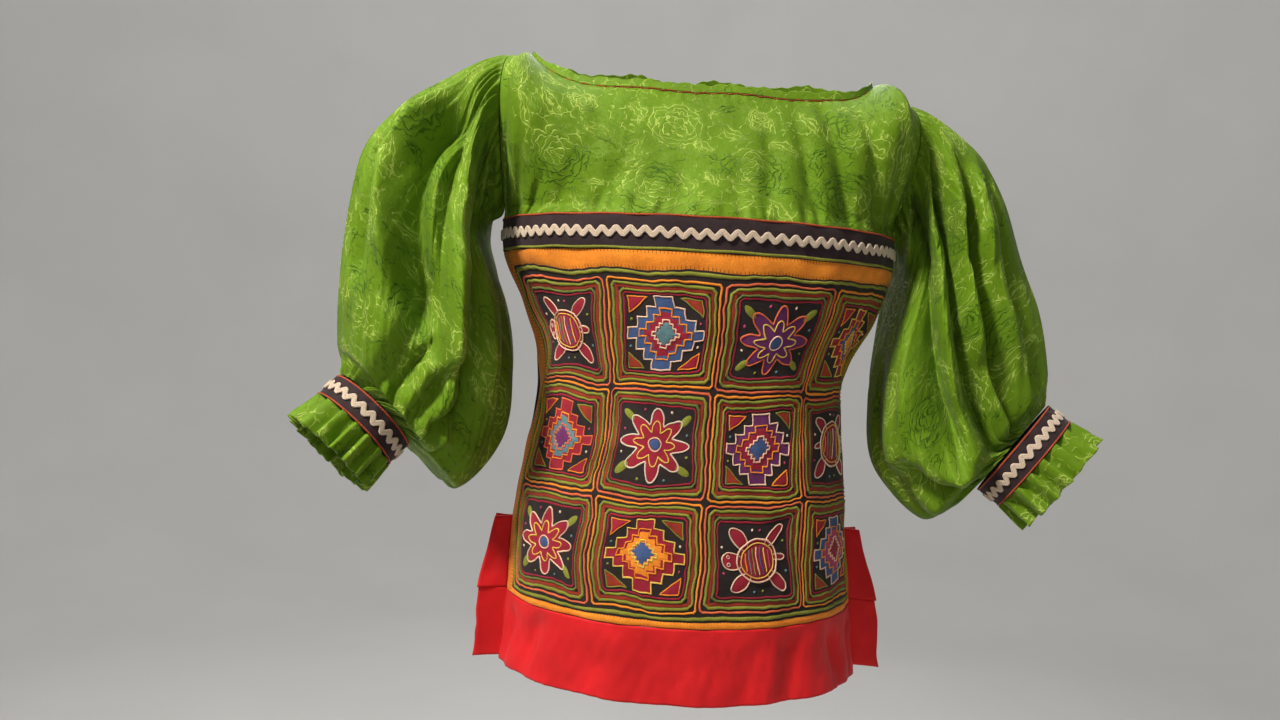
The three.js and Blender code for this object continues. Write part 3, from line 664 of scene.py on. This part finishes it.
def leaf(s, x, y, cx, cy, length, turn):
    """The outline and midrib of one leaf, as the distance to the nearest line."""
    dx, dy = x - cx, y - cy
    c, n = math.cos(turn) / length, math.sin(turn) / length
    a, b = dx * c + dy * n, dy * c - dx * n
    square = a * a
    bend = abs(s.math("MULTIPLY_ADD", square, 0.25, b))
    outline = abs(bend - (1.0 - square) * LEAF_FAT)
    outside = abs(a) - 1.0
    rib = s.math("MAXIMUM", bend, outside + 0.25)
    return s.math("MINIMUM", s.math("MAXIMUM", outline, outside), rib) * length


def damask():
    """Green satin with roses and leaves woven in: the figures are lines and petals whose threads lie the
    other way, so they catch the light differently.
    The lines are painted light or dark by a slow noise, with a light halo, as painted sheen, and painted
    shade lies just outside each petal edge."""
    s = Shader("damask")
    place = s.uv
    for scale, detail, swing in ((70.0, 1.0, 0.009), (260.0, 0.0, 0.0032)):
        field = s.noise(s.uv, scale, detail, output="Color", flat=True)
        place = s.node("VectorMath", {0: field, 1: (swing, swing, 0.0), 2: place}, operation="MULTIPLY_ADD")
    u, v = s.split(place)
    wide, tall = DAMASK_TILE
    shift = s.math("MODULO", abs(s.math("FLOOR", v / tall)), 2.0) * (wide / 2)
    x, y = s.math("FLOORED_MODULO", u + shift, wide), s.math("FLOORED_MODULO", v, tall)
    edges, painted_shades, insides = zip(*(rose(s, x, y, *spot) for spot in ROSES))
    nearest = s.among("MINIMUM", [*edges, *(leaf(s, x, y, *spot) for spot in LEAVES)])
    painted_shade, patch = s.among("MAXIMUM", painted_shades), s.among("MAXIMUM", insides)
    cells = s.node("TexVoronoi", {"Vector": s.join(u, v), "Scale": 95.0}, "Distance",
                   feature="DISTANCE_TO_EDGE", voronoi_dimensions="2D")
    arcs = s.ramp(cells, 0.02, 0.07, 0.75, 0.0) * s.ramp(s.noise(s.uv, 120.0, 1.0, flat=True), 0.47, 0.55)
    lines = s.math("MAXIMUM", s.ramp(nearest, 0.0002, 0.0008, 1.0, 0.0), arcs * (1.0 - patch))
    # Painted sheen: a faint light halo round the figure lines, where tone is high.
    painted_halo = s.ramp(nearest, 0.0, 0.005, 1.0, 0.0)
    broad = s.noise(s.place, 14.0, 3.0)
    fine = s.noise(s.place, 420.0, 3.0, 0.6)
    slub = s.noise(s.join(u * 900.0, v * 25.0), 1.0, 1.0, flat=True)
    tone = s.ramp(s.noise(s.uv, 17.0, 2.0, flat=True), 0.42, 0.54)
    broken = s.ramp(s.noise(s.uv, 160.0, 1.0, flat=True), 0.3, 0.5, 0.4, 0.9)
    green = COLOURS["green"]
    base = s.blend(s.ramp(broad, 0.3, 0.7), tinted(green, 0.86), tinted(green, 1.12))
    # The lines are light or dark by the slow noise tone, a painted sheen for figures catching the light or
    # not; the band just outside each petal edge is painted shade. Slubs and fine noise are the cloth's own
    # tone.
    for share, colour in ((s.ramp(slub, 0.35, 0.75) * 0.3, tinted(green, 0.72)),
                          (fine * 0.15, tinted(green, 0.6)),
                          (painted_shade * 0.6, (0.040, 0.105, 0.005)),
                          (painted_halo * tone * 0.2, (0.26, 0.40, 0.04)),
                          (lines * broken, s.blend(tone, (0.028, 0.080, 0.004), (0.36, 0.47, 0.085)))):
        base = s.blend(share, base, colour)
    threads = s.sine(u * (math.tau * 1800))
    normal = s.bump(threads * 0.12 + lines + painted_shade * -0.6, 0.6, 0.0004)
    normal = s.bump(s.noise(s.place, 110.0, 3.0), 0.34, 0.002, normal)
    rough = s.ramp(fine, 0.2, 0.8, 0.42, 0.52) + lines * -0.08 + patch * 0.08
    return s.finish(base, rough, normal, Sheen_Weight=0.03, Sheen_Roughness=0.4, Anisotropic=0.3,
                    Specular_IOR_Level=0.27, Specular_Tint=(0.62, 0.85, 0.25))


def red_cloth():
    s = Shader("red_cloth")
    broad = s.noise(s.place, 16.0, 4.0, 0.55)
    fine = s.noise(s.place, 700.0, 3.0, 0.6)
    red = COLOURS["red"]
    base = s.blend(s.ramp(broad, 0.3, 0.7), tinted(red, 0.84), tinted(red, 1.12, 0.003))
    base = s.blend(fine * 0.2, base, (0.55, 0.008, 0.012))
    normal = s.bump(s.noise(s.place, 70.0, 4.0), 0.4, 0.002, s.bump(weave(s, 3.0), 0.3, 0.00015))
    return s.finish(base, s.ramp(fine, 0.2, 0.8, 0.5, 0.62), normal, Sheen_Weight=0.05, Sheen_Roughness=0.4,
                    Specular_IOR_Level=0.4, Specular_Tint=(1.0, 0.45, 0.4))


def braid_cloth():
    """The wavy braid: U runs along it in metres, V across from 0 to 1, and its cords lie slanting."""
    s = Shader("braid_cloth")
    u, v = s.split(s.uv)
    slant = s.math("MULTIPLY_ADD", abs(v - 0.5), 0.0042, u)
    height = s.sine(slant * (math.tau / 0.0011)) + s.sine(v * (math.tau * 4)) * 0.6
    fine = s.noise(s.place, 800.0, 3.0, 0.6)
    cream = COLOURS["cream"]
    # Painted shade: the braid is darker where its cords are low, in the grooves between them.
    base = s.blend(s.ramp(height, -1.4, 1.0), tinted(cream, 0.66), cream)
    base = s.blend(fine * 0.3, base, (0.56, 0.38, 0.24))
    return s.finish(base, s.ramp(fine, 0.2, 0.8, 0.72, 0.86), s.bump(height, 0.6, 0.00025),
                    Sheen_Weight=0.3, Specular_IOR_Level=0.3)


# Each with its slot
DAMASK = damask(), "damask"
RED = red_cloth(), "hem_cloth"
BRAID = braid_cloth(), "braid"
BAND = cotton("band_cloth", COLOURS["band"], 2.0), "band_cloth"
GROUND = cotton("dark_ground", COLOURS["dark"], 2.2), "panel_cloth"
RIBBON = {name: cotton(f"{name}_ribbon", value, 2.4, sewn=True) for name, value in COLOURS.items()
          if name not in ("green", "dark", "band", "red")}


# The yoke, the neck strips and the chest bands

def build_yoke(face):
    """The yoke, the strip that stands round the neck, and the thread line at its foot."""
    seed = {"front": 31, "back": 32}[face]

    def surface(u, v):
        across, height = 2 * v - 1, 1 - u
        press = pressed(YOKE_FOLDS, across, yoke(face, across, height)[..., 2]) if face == "front" else 0
        low = 1 - smooth(0.02, 0.26, height)
        gather = np.sin(across * 74 + 4 * ripple(across * 3, height * 0.3, seed))
        tuft = np.sin(across * 139 + 3 * ripple(across * 4, height * 0.3, seed + 7))
        strong = 0.7 + 0.5 * ripple(across * 4, 0 * height, seed + 8)
        press = press + (1.9 * gather * low + 1.1 * tuft * low**3) * strong * smooth(-0.02, 0.05, height)
        press = press + 0.35 * ripple(across * 7, height * 2.2, seed + 2)
        press = press + 0.6 * ripple(across * 3, height * 1.6, seed + 4)
        top = smooth(0.86, 1, height)
        press = press * (1 - 0.7 * top) + 0.25 * np.sin(across * 120) * top * (1 - smooth(0.98, 1, height))
        return yoke(face, across, height, press * (1 - 0.9 * smooth(0.93, 1, np.abs(across))))

    rows, size = {"front": (90, (0.40, 0.13)), "back": (60, (0.38, 0.16))}[face]
    piece = cloth(f"yoke_cloth_{face}", surface, rows, 220, DAMASK, [f"yoke_{face}"])

    def strip(u, v):
        neck = (2 * v - 1) * 0.995
        end = neck**4
        edge = yoke(face, neck * NECK_SHARE, 1 + 0 * u)
        edge[..., 1] = AWAY[face] * np.maximum(1.5, np.abs(edge[..., 1]))
        lean = together(-0.25 * np.sign(neck) * end, -AWAY[face] * 0.3 * (1 - end), 1 + 0 * u)
        up = unit(np.stack(lean, -1))
        height = (1 - u) * (1 - 0.5 * smooth(0.8, 1, np.abs(neck)))
        wave = 0.8 * np.sin(neck * 29) + 0.6 * np.sin(neck * 71 + 1) + 0.5 * ripple(neck * 9, 0 * neck, 35)
        return edge + up * (0.4 + 0.5 * end + (BINDING_HEIGHT + wave) * height)[..., None]

    piece = cloth(f"neck_strip_{face}", strip, 10, 220, DAMASK, [f"neck_binding_{face}"], thick=1.4)

    neck = np.linspace(-0.985, 0.985, 320)
    out, up = np.array([0.0, AWAY[face], 0.0]), np.array([0.0, 0.0, 1.0])
    line = yoke(face, neck * NECK_SHARE, 1.0) + out * 0.9
    line[:, 2] += 0.5 * np.sin(neck * 70) - 0.2
    strip_along(f"neck_thread_{face}", line, up, out, 1.1, 0.7, (RIBBON["rust"], "rust_piping"), pinch=0.35)


def body_frame(face, across, z):
    """Points of the body cloth, and the ways out of it, up it and along it."""
    across, z = together(across, z)
    along = unit(body(face, across + 1e-3, z) - body(face, across - 1e-3, z))
    up = unit(body(face, across, z + 0.5) - body(face, across, z - 0.5))
    out = unit(np.cross(along, up))
    return body(face, across, z), out * np.sign(out[..., 1:2] * AWAY[face]), up, along


def wavy_braid(name, line, out, up, along, length, node):
    """A flat braid that swings up and down along a line."""
    beat = math.tau * round(length / WAVE_LENGTH)
    phase = beat * np.linspace(0, 1, len(line))[:, None]
    swing = WAVE_SWING * (np.sin(phase) - 0.09 * np.sin(3 * phase))
    lean = np.arctan(WAVE_SWING * (np.cos(phase) - 0.27 * np.cos(3 * phase)) * beat / length)
    strip_along(name, line + up * swing + out * BRAID_LIFT, up * np.cos(lean) - along * np.sin(lean), out,
                BRAID_WIDTH, BRAID_HEIGHT, BRAID, [node], profile=BRAID_PROFILE)


def build_chest_band(face):
    """The dark band across the chest, its braid and its two pipings."""
    def surface(u, v):
        across = 2 * v - 1
        pull = 0.25 * np.sin(across * 47) + 0.35 * ripple(v * 9, u, 41)
        return body(face, across, mix(BAND_TOP_Z - 0.15, BAND_LOW_Z + 0.15, u), pull)

    piece = cloth(f"band_cloth_{face}", surface, 14, 200, BAND, [f"chest_band_{face}"], thick=BAND_THICK)

    across = np.linspace(-0.97, 0.97, 900)
    middle = (BAND_TOP_Z + BAND_LOW_Z) / 2 + 0.35 * np.sin(across * 21)
    wavy_braid(f"wavy_braid_{face}", *body_frame(face, across, middle), PANEL_WIDTH, f"rick_rack_{face}")

    across = np.linspace(-0.985, 0.985, 640)
    for name, z, colour, width, slot in (("top", BAND_TOP_Z - 0.4, "flame", 1.7, "rust_piping"),
                                         ("low", BAND_LOW_Z + 1.3, "leaf", 2.4, "green_piping")):
        line, out, up, _ = body_frame(face, across, z + 0.25 * np.sin(across * 33))
        strip_along(f"band_piping_{name}_{face}", line + out * 0.75, up, out, width, 0.95,
                    (RIBBON[colour], slot), [f"chest_piping_{name}_{face}"], pinch=0.3)


# The sleeves, their cuffs and frills

def build_sleeve(name):
    def surface(u, v):
        turn = 0.5 - SIDES[name] * v
        return sleeve(name, u, turn + 0.4 / math.tau * np.sin(math.tau * (turn + 0.21)))

    piece = cloth(f"sleeve_cloth_{name}", surface, 190, 300, DAMASK, [f"sleeve_{name}"], closed=True, thick=0)


def build_cuff(name):
    """The dark band at the end of a sleeve, its braid and its two pipings."""
    side = SIDES[name]

    def surface(u, v):
        turn = 0.5 - side * v
        angle = math.tau * turn
        pull = 0.3 * np.sin(turn * 130) * (1 - u)
        pull = pull + 0.35 * ripple(np.cos(angle) * 2, np.sin(angle) * 2 + u, 51)
        return cuff(name, CUFF_START + CUFF_HEIGHT * u, turn, CUFF_GROW + pull / 40)

    piece = cloth(f"cuff_cloth_{name}", surface, 12, 150, BAND, [f"cuff_band_{name}"], closed=True,
                  thick=BAND_THICK)

    centre = cuff(name, 0.0, 0.0, 0.0)
    up = centre - cuff(name, 1.0, 0.0, 0.0)
    turn = 0.5 - side * np.linspace(0, 1, 620)

    def ring(distance):
        line = cuff(name, distance, turn)
        along = unit(cuff(name, distance, turn + 1e-3) - cuff(name, distance, turn - 1e-3)) * -side
        out = unit(np.cross(along, up))
        return line, out * np.sign(((line - centre) * out).sum(-1, keepdims=True)), up, along

    middle = ring(CUFF_START + CUFF_HEIGHT / 2)
    wavy_braid(f"wavy_braid_cuff_{name}", *middle, run(middle[0])[-1], f"rick_rack_cuff_{name}")
    for which, distance in (("top", CUFF_START + 1.0), ("low", CUFF_START + CUFF_HEIGHT - 1.0)):
        line, out, _, _ = ring(distance)
        strip_along(f"cuff_piping_{which}_cloth_{name}", line + out * 0.7, up, out, 1.5, 0.9,
                    (RIBBON["flame"], "rust_piping"), [f"cuff_piping_{which}_{name}"], pinch=0.3)


def build_frill(name):
    """The frill beyond a cuff, laid in pleats that all turn one way."""
    def surface(u, v):
        turn = 0.5 - SIDES[name] * v
        angle = math.tau * turn
        place = (turn * PLEATS + 0.16 * np.sin(angle * 3 + 1)) % 1.0
        under = smooth(0.0, 0.8, place) * (1 - smooth(0.86, 1.0, place))
        noise = ripple(np.cos(angle) * 2.4, np.sin(angle) * 2.4 + u, 61)
        point = cuff(name, FRILL_START + FRILL_LENGTH * u * (1 + 0.03 * noise), turn,
                     CUFF_GROW + FRILL_FLARE * u + 0.02 * noise * u)
        centre = cuff(name, FRILL_START + FRILL_LENGTH * u, 0 * turn, 0.0)
        press = PLEAT_DEPTH * (under * mix(0.6, 1.1, u) - 0.15)
        return point + unit(centre - point) * press[..., None]

    piece = cloth(f"frill_cloth_{name}", surface, 22, 400, DAMASK, [f"cuff_frill_{name}"], closed=True)


# The hem and its side strips

def flare(face, edge, hand, share, z):
    """The side edge of the body, moved a share of the way across the strip that flares out there."""
    edge = edge.copy()
    edge[..., 0] += hand * read(STRIP_FLARE, z, 1) * share
    edge[..., 1] += AWAY[face] * (2 + 3 * share) * share
    return edge


def build_hem(face):
    """The hem band, turned out at both ends, and the strips beside the panel above it."""
    seed = {"front": 71, "back": 72}[face]

    def surface(u, v):
        across, z = together(2 * v - 1, mix(PANEL_LOW_Z - 0.15, HEM_Z, u))
        turn = np.clip(across / HEM_TURN, -1, 1)
        press = 1.5 * pressed(HEM_FOLDS, turn, z) + 1.2 * ripple(turn * 4, u * 0.7, seed)
        press = (press + 0.45 * ripple(turn * 13, u * 2, seed + 1)) * smooth(-0.05, 0.35, u)
        share = np.maximum(0, (np.abs(across) - HEM_TURN) / (1 - HEM_TURN))
        return flare(face, vented(face, turn, z, press), np.sign(across), share, z)

    piece = cloth(f"hem_cloth_{face}", surface, 32, 190, RED, [f"hem_band_{face}"], thick=BAND_THICK)
    for name, hand in SIDES.items():
        def strip(u, v, hand=hand):
            share, z = together(v, mix(VENT_TOP_Z, PANEL_LOW_Z + 0.15, u))
            point = flare(face, vented(face, hand, z), hand, share, z)
            point[..., 0] += hand * STRIP_OUT
            pucker = 0.8 * np.sin(u * 4 + v * 3) + 0.7 * np.sin(u * 11 - v * 5) * v
            point[..., 1] += AWAY[face] * (STRIP_OUT + pucker)
            return point

        piece = cloth(f"side_strip_cloth_{name}_{face}", strip, 30, 12, RED, [f"side_strip_{name}_{face}"],
                      thick=BAND_THICK)


# The picture panel. s runs from the middle of the panel laid flat and t down from its top.

# Shares of the panel's width, -1 to 1, and the places across the body where they lie
ARC_ACROSS = np.linspace(-1, 1, 401)
ARC_SHARE = run(body("front", ARC_ACROSS, -300.0))
ARC_SHARE = ARC_SHARE / ARC_SHARE[-1] * 2 - 1


def panel_point(face, s, t, lift=0.0):
    """The place on the garment of a point of the flat panel, raised off it by lift."""
    s, t, lift = together(s, t, lift)

    def place(s, t):
        across = np.interp(np.clip(s / (PANEL_WIDTH / 2), -1, 1), ARC_SHARE, ARC_ACROSS)
        z = mix(BAND_LOW_Z - 0.05, PANEL_LOW_Z + 0.1, t / PANEL_HEIGHT)
        press = pressed(PANEL_FOLDS, across, z) if face == "front" else 0
        return vented(face, across, z, press + 0.8 * ripple(s / 60, t / 60, 81))

    normal = unit(np.cross(place(s + 0.5, t) - place(s - 0.5, t), place(s, t + 0.5) - place(s, t - 0.5)))
    return place(s, t) + normal * np.sign(normal[..., 1:2] * AWAY[face]) * lift[..., None]


def by_hand(s, t, seed):
    """Flat panel coordinates moved a little, as sewing by hand does; the panel's edges stay."""
    inside = clamp(np.minimum(PANEL_WIDTH / 2 - np.abs(s), np.minimum(t, PANEL_HEIGHT - t)) / 14)
    return [place + 2.2 * inside * ripple(s / 105, t / 105, seed + k)
            + 0.6 * inside * ripple(s / 20, t / 20, seed + 2 + k) for k, place in enumerate((s, t))]


class Layer:
    """Gathers many small shapes of one colour, in flat panel coordinates, into one mesh."""

    def __init__(self, face):
        self.points, self.uvs, self.faces, self.count = [], [], [], 0
        self.step = STITCH / 2 if face == "front" else STITCH
        self.profile = RIBBON_PROFILE[face]

    def add(self, rows, uvs, closed):
        """Adds a grid of points. rows are its lines of points; closed joins each line's ends."""
        grid = np.stack(rows, 1)
        self.faces += grid_faces(*grid.shape[:2], closed, self.count)
        self.points.append(grid.reshape(-1, 3))
        self.uvs.append(np.stack(uvs, 1).reshape(-1, 2))
        self.count += len(self.points[-1])


def resample(path, step, closed):
    """Points about step apart along a line, with its corners kept."""
    path = [np.asarray(point, float) for point in path]
    out = []
    for a, b in zip(path, path[1:] + path[:1] if closed else path[1:]):
        count = max(1, round(np.linalg.norm(b - a) / step))
        out += [mix(a, b, k / count) for k in range(count)]
    return np.array(out if closed else out + path[-1:])


def lay_ribbon(layer, path, width, height=0.9, closed=True, base=0.0, pinch=0.16):
    """A sewn ribbon along a line: puffed up between its stitches and drawn in at each."""
    line = resample(path, layer.step, closed)
    after = unit(np.roll(line, -1, 0) - line)
    if not closed:
        after[-1] = after[-2]
    before = np.roll(after, 1, 0)
    if not closed:
        before[0] = after[0]
    side = unit((before + after)[:, ::-1] * (-1, 1))
    side /= np.maximum(0.6, np.abs(side[:, 1] * before[:, 0] - side[:, 0] * before[:, 1]))[:, None]
    stitch = np.arange(len(line) + 1)[1:] % 2
    wide = width / 2 * (1 - pinch * stitch)
    tall = height * (1 - 0.35 * stitch)
    if not closed:
        tall[[0, -1]] *= 0.3
    along = np.arange(len(line)) * layer.step / 1000
    rows = [np.column_stack([line + side * (place * wide)[:, None], base + up * tall])
            for place, up in layer.profile]
    layer.add(rows, [np.column_stack(together(along, k)) for k in np.linspace(0, 1, len(rows))], closed)


def lay_patch(layer, outline, height=0.5, rings=6):
    """A filled patch inside a line that can be seen whole from its middle, turned under at its edge."""
    line = resample(outline, 1.2 * layer.step, True)
    middle = line.mean(0)
    rows, uvs = [], []
    for share in np.arange(rings + 1) / rings:
        spot = middle + (line - middle) * share
        lift = height * (1 - share**6) + 0.03 + 0.05 * ripple(spot[:, 0] / 7, spot[:, 1] / 7, 91)
        rows.append(np.column_stack([spot, lift]))
        uvs.append((spot - middle) / 1000 + (0.0, 0.5))
    layer.add(rows, uvs, True)


def box_path(x0, y0, x1, y1, cut):
    """A rectangle with its corners cut a little."""
    if not cut:
        return [(x0, y0), (x1, y0), (x1, y1), (x0, y1)]
    return [(x0 + cut, y0), (x1 - cut, y0), (x1, y0 + cut), (x1, y1 - cut),
            (x1 - cut, y1), (x0 + cut, y1), (x0, y1 - cut), (x0, y0 + cut)]


def oval(cx, cy, rx, ry, turn=0.0, count=24):
    """An ellipse turned by an angle."""
    angle = np.linspace(0, math.tau, count, endpoint=False)
    x, y = rx * np.cos(angle), ry * np.sin(angle)
    c, n = math.cos(turn), math.sin(turn)
    return np.stack([cx + c * x - n * y, cy + n * x + c * y], -1)


def turtle(layers, cx, cy, facing, rim):
    """A turtle from above: its head, feet and tail reach out from under a shell with stripes."""
    ahead = SIDES[facing]
    cx -= 2 * ahead
    limbs = [oval(cx + ahead * 23.5, cy, 8.5, 7.0), oval(cx - ahead * 21.5, cy, 6.0, 2.4)]
    limbs += [oval(cx + front * 17.0, cy + hand * 17.5, 10.0, 5.2, front * hand * 0.75)
              for front in (-1, 1) for hand in (-1, 1)]
    for outline in limbs:
        lay_patch(layers["crimson"], outline, 0.5, 3)
        lay_ribbon(layers[rim], outline, 1.3, 0.75, base=0.1)
    lay_patch(layers["crimson"], oval(cx, cy, 19.5, 17.5, 0, 44), 1.1)
    lay_ribbon(layers[rim], oval(cx, cy, 19.5, 17.5, 0, 60), 1.5, 0.8, base=0.8)
    lay_ribbon(layers["yellow"], oval(cx, cy, 16.2, 14.4, 0, 52), 1.0, 0.6, base=0.95)
    for k, colour in enumerate(("orange", "teal", "leaf", "skin", "blue", "yellow", "pink")):
        x = (k - 3) * 3.9
        half = 12.2 * math.sqrt(1 - (x / 15.0) ** 2) - 0.4
        stripe = [(cx + x, cy - half), (cx + x, cy + half)]
        lay_ribbon(layers[colour], stripe, 1.5, 0.6, closed=False, base=1.0)
    for eye in (-1, 1):
        ring = oval(cx + ahead * 26.5, cy + eye * 2.9, 1.3, 1.3, 0, 8)
        lay_ribbon(layers["cream"], ring, 0.7, 0.5, base=0.5)


def diamond(layers, cx, cy, outer, middle, inner, rim, steps=4):
    """Diamonds inside each other, each narrowing in steps, and a three-cornered patch in each corner."""
    for h, w in ((-1, -1), (-1, 1), (1, -1), (1, 1)):
        corner = [(cx + w * x, cy + h * y) for x, y in ((30, 27), (30, 14.5), (22, 20.5), (14, 27))]
        lay_patch(layers["crimson" if h * w > 0 else "rust"], corner, 0.5, 3)
        lay_ribbon(layers["orange" if h * w > 0 else "leaf"], corner, 1.1, 0.7, base=0.1)
    for k, (share, colour) in enumerate(((1.0, outer), (0.68, middle), (0.36, inner))):
        right = []
        for row in range(2 * steps - 1):
            x = 31 * share * (steps - abs(row + 1 - steps)) / steps
            right += [(x, 27.5 * share * (2 * end / (2 * steps - 1) - 1)) for end in (row, row + 1)]
        outline = [(cx + x, cy + y) for x, y in right + [(-x, y) for x, y in right[::-1]]]
        lay_patch(layers[colour], outline, 0.35 + 0.25 * k)
        lay_ribbon(layers["orange" if k == 1 else rim], outline, 1.3, 0.75, base=0.1 + 0.25 * k)


def flower(layers, cx, cy, petal, rim):
    """An open flower of eight petals with a ringed middle and four leaves between the petals."""
    def petals(size, count):
        angle = np.linspace(0, math.tau, count, endpoint=False)
        reach = (14.5 + 12.5 * (0.5 + 0.5 * np.cos(8 * angle)) ** 0.8) * size
        return np.stack([cx + 1.12 * reach * np.cos(angle), cy + reach * np.sin(angle)], -1)

    for a in (0.72, -0.72, math.pi - 0.72, math.pi + 0.72):
        leaf_at = cx + 32.86 * math.cos(a), cy + 30.16 * math.sin(a)
        lay_patch(layers["leaf"], oval(*leaf_at, 6.5, 2.9, a, 20), 0.45, 3)
    lay_patch(layers[petal], petals(1.0, 120), 0.5)
    lay_ribbon(layers[rim], petals(1.0, 140), 1.4, 0.8, base=0.1)
    lay_ribbon(layers["yellow"], petals(0.62, 90), 1.2, 0.7, base=0.4)
    lay_patch(layers["blue"], oval(cx, cy, 5.5, 5.0, 0, 22), 0.9, 3)
    lay_ribbon(layers["skin"], oval(cx, cy, 5.5, 5.0, 0, 22), 1.2, 0.7, base=0.5)


def lay_block(layers, column, row, picture):
    """One block of the panel: its frames of ribbon, its motif, and dots round that."""
    x0, y0 = BLOCK_LEFT + column * BLOCK_WIDTH, BLOCK_TOP + row * BLOCK_HEIGHT
    x1, y1 = x0 + BLOCK_WIDTH, y0 + BLOCK_HEIGHT
    for inset, width, height, cut, colours in FRAMES:
        path = box_path(x0 + inset, y0 + inset, x1 - inset, y1 - inset, cut)
        lay_ribbon(layers[colours[(column + row) % 2]], path, width, height, pinch=0.16 if cut else 0.0)
    cx, cy = (x0 + x1) / 2, (y0 + y1) / 2
    kind, *options = picture.split()
    {"turtle": turtle, "diamond": diamond, "flower": flower}[kind](layers, cx, cy, *options)
    for k, (dx, dy) in enumerate(DOTS[kind]):
        colour = DOT_COLOURS[(k + row + column) % 4]
        lay_patch(layers[colour], oval(cx + dx, cy + dy, 1.1, 1.1, 0, 8), 0.7, 2)


def lay_border(layers):
    """The orange border and the ribbon that runs round inside it."""
    half, (at_left, at_right, top, low) = PANEL_WIDTH / 2, BORDER.values()
    left, right = at_left - half, half - at_right
    for x, width in ((left - at_left / 2, at_left), (right + at_right / 2, at_right)):
        lay_ribbon(layers["orange"], [(x, 0.5), (x, PANEL_HEIGHT - 0.5)], width, closed=False, pinch=0.02)
    for y, width in ((top / 2 + 0.3, top), (PANEL_HEIGHT - low / 2 - 0.3, low)):
        lay_ribbon(layers["orange"], [(left, y), (right, y)], width, closed=False, pinch=0.03)
    path = box_path(left + 3.6, top + 3.0, right - 3.6, PANEL_HEIGHT - low - 3.2, 3)
    lay_ribbon(layers["leaf"], path, 3.0, 1.1)


def build_panel(face):
    """The dark ground of a picture panel and, in one piece for each colour, all that is sewn on it."""
    def surface(u, v):
        return panel_point(face, (2 * v - 1) * PANEL_WIDTH / 2, u * PANEL_HEIGHT)

    ground = cloth(f"panel_ground_{face}", surface, 64, 110, GROUND, [f"mola_panel_{face}"])
    layers = {name: Layer(face) for name in RIBBON}
    lay_border(layers)
    for row, pictures in enumerate(PICTURES[face]):
        for column, picture in enumerate(pictures):
            lay_block(layers, column, row, picture)
    for name, layer in layers.items():
        if layer.count:
            flat = np.concatenate(layer.points)
            s, t = by_hand(flat[:, 0], flat[:, 1], {"front": 95, "back": 105}[face])
            points = panel_point(face, s, t, flat[:, 2] + 0.5)
            make_mesh(f"panel_{name}_{face}", points, layer.faces, np.concatenate(layer.uvs),
                                    (RIBBON[name], "panel_cloth"))


for face in AWAY:
    build_panel(face)
    build_yoke(face)
    build_chest_band(face)
    build_hem(face)
for name in SIDES:
    build_sleeve(name)
    build_cuff(name)
    build_frill(name)


# The floor, the lights and the camera, in metres

def stage_floor(low=-1.12, flat=2.3, bend=1.3, top=2.3, turns=72):
    """A pale floor whose edge sweeps up into a low round wall, far from the blouse."""
    arc = np.linspace(0, math.pi / 2, 17)
    line = [(flat + bend * math.sin(a), low + bend - bend * math.cos(a)) for a in arc]
    line = [(0.6, low), *line, (flat + bend, top)]
    points = [(0.0, 0.0, low)]
    for a in np.arange(turns) * math.tau / turns:
        points += [(reach * math.cos(a), reach * math.sin(a), z) for reach, z in line]
    starts = [1 + k * len(line) for k in range(turns)]
    middle = [(0, a, b) for a, b in zip(starts, starts[1:] + starts[:1])]
    mesh = bpy.data.meshes.new("floor")
    mesh.from_pydata(points, [], middle + grid_faces(turns, len(line), True, 1))
    mesh.polygons.foreach_set("use_smooth", [True] * len(mesh.polygons))
    s = Shader("floor")
    base = s.blend(s.noise(s.place, 3.0, 3.0), (0.48, 0.475, 0.465), (0.54, 0.535, 0.525))
    mesh.materials.append(s.finish(base, 0.8, s.bump(s.noise(s.place, 60.0, 3.0), 0.05, 0.001)))
    add_object("floor", mesh)


def area_light(name, place, target, size, power, colour=(1, 1, 1)):
    data = bpy.data.lights.new(name, "AREA")
    data.shape, data.size, data.energy, data.color = "DISK", size, power, colour
    turn = (Vector(place) - Vector(target)).to_track_quat("Z", "Y").to_matrix().to_4x4()
    add_object(name, data).matrix_world = Matrix.Translation(place) @ turn


def make_camera():
    """The camera stands a little to the left of the front, level with the middle of the sleeves."""
    data = bpy.data.cameras.new("camera")
    data.sensor_width, data.lens = 36.0, 36.0 * FOCAL_LENGTH / IMAGE_WIDTH
    data.clip_start = 0.01
    camera = add_object("camera", data)
    camera.matrix_world = (Matrix.Translation(CAMERA_PLACE) @ Matrix.Rotation(-CAMERA_YAW, 4, "Z")
                           @ Matrix.Rotation(math.pi / 2 - CAMERA_PITCH, 4, "X")
                           @ Matrix.Rotation(CAMERA_ROLL, 4, "Z"))
    bpy.context.scene.camera = camera


stage_floor()
world = bpy.data.worlds.new("studio")
world.use_nodes = True
world.node_tree.nodes["Background"].inputs["Color"].default_value = (0.80, 0.80, 0.79, 1)
world.node_tree.nodes["Background"].inputs["Strength"].default_value = 0.12
bpy.context.scene.world = world
bpy.context.scene.view_settings.view_transform = "Standard"
area_light("key", (-1.05, -0.85, 1.15), (0, 0, -0.2), 0.3, 52, (1.0, 0.97, 0.90))
area_light("fill", (-0.3, -1.9, 0.1), (0, 0, -0.25), 1.0, 4)
area_light("back", (0.3, 1.5, 0.9), (0, 0, -0.2), 0.9, 9)
for k, power in enumerate((42, 12, 10, 12)):
    x, y = math.cos(math.pi / 2 * (k + 1)), math.sin(math.pi / 2 * (k + 1))
    area_light(f"wall_{k}", (0.9 * x, 0.9 * y, 2.1), (3.4 * x, 3.4 * y, 0.0), 1.8, power)
make_camera()
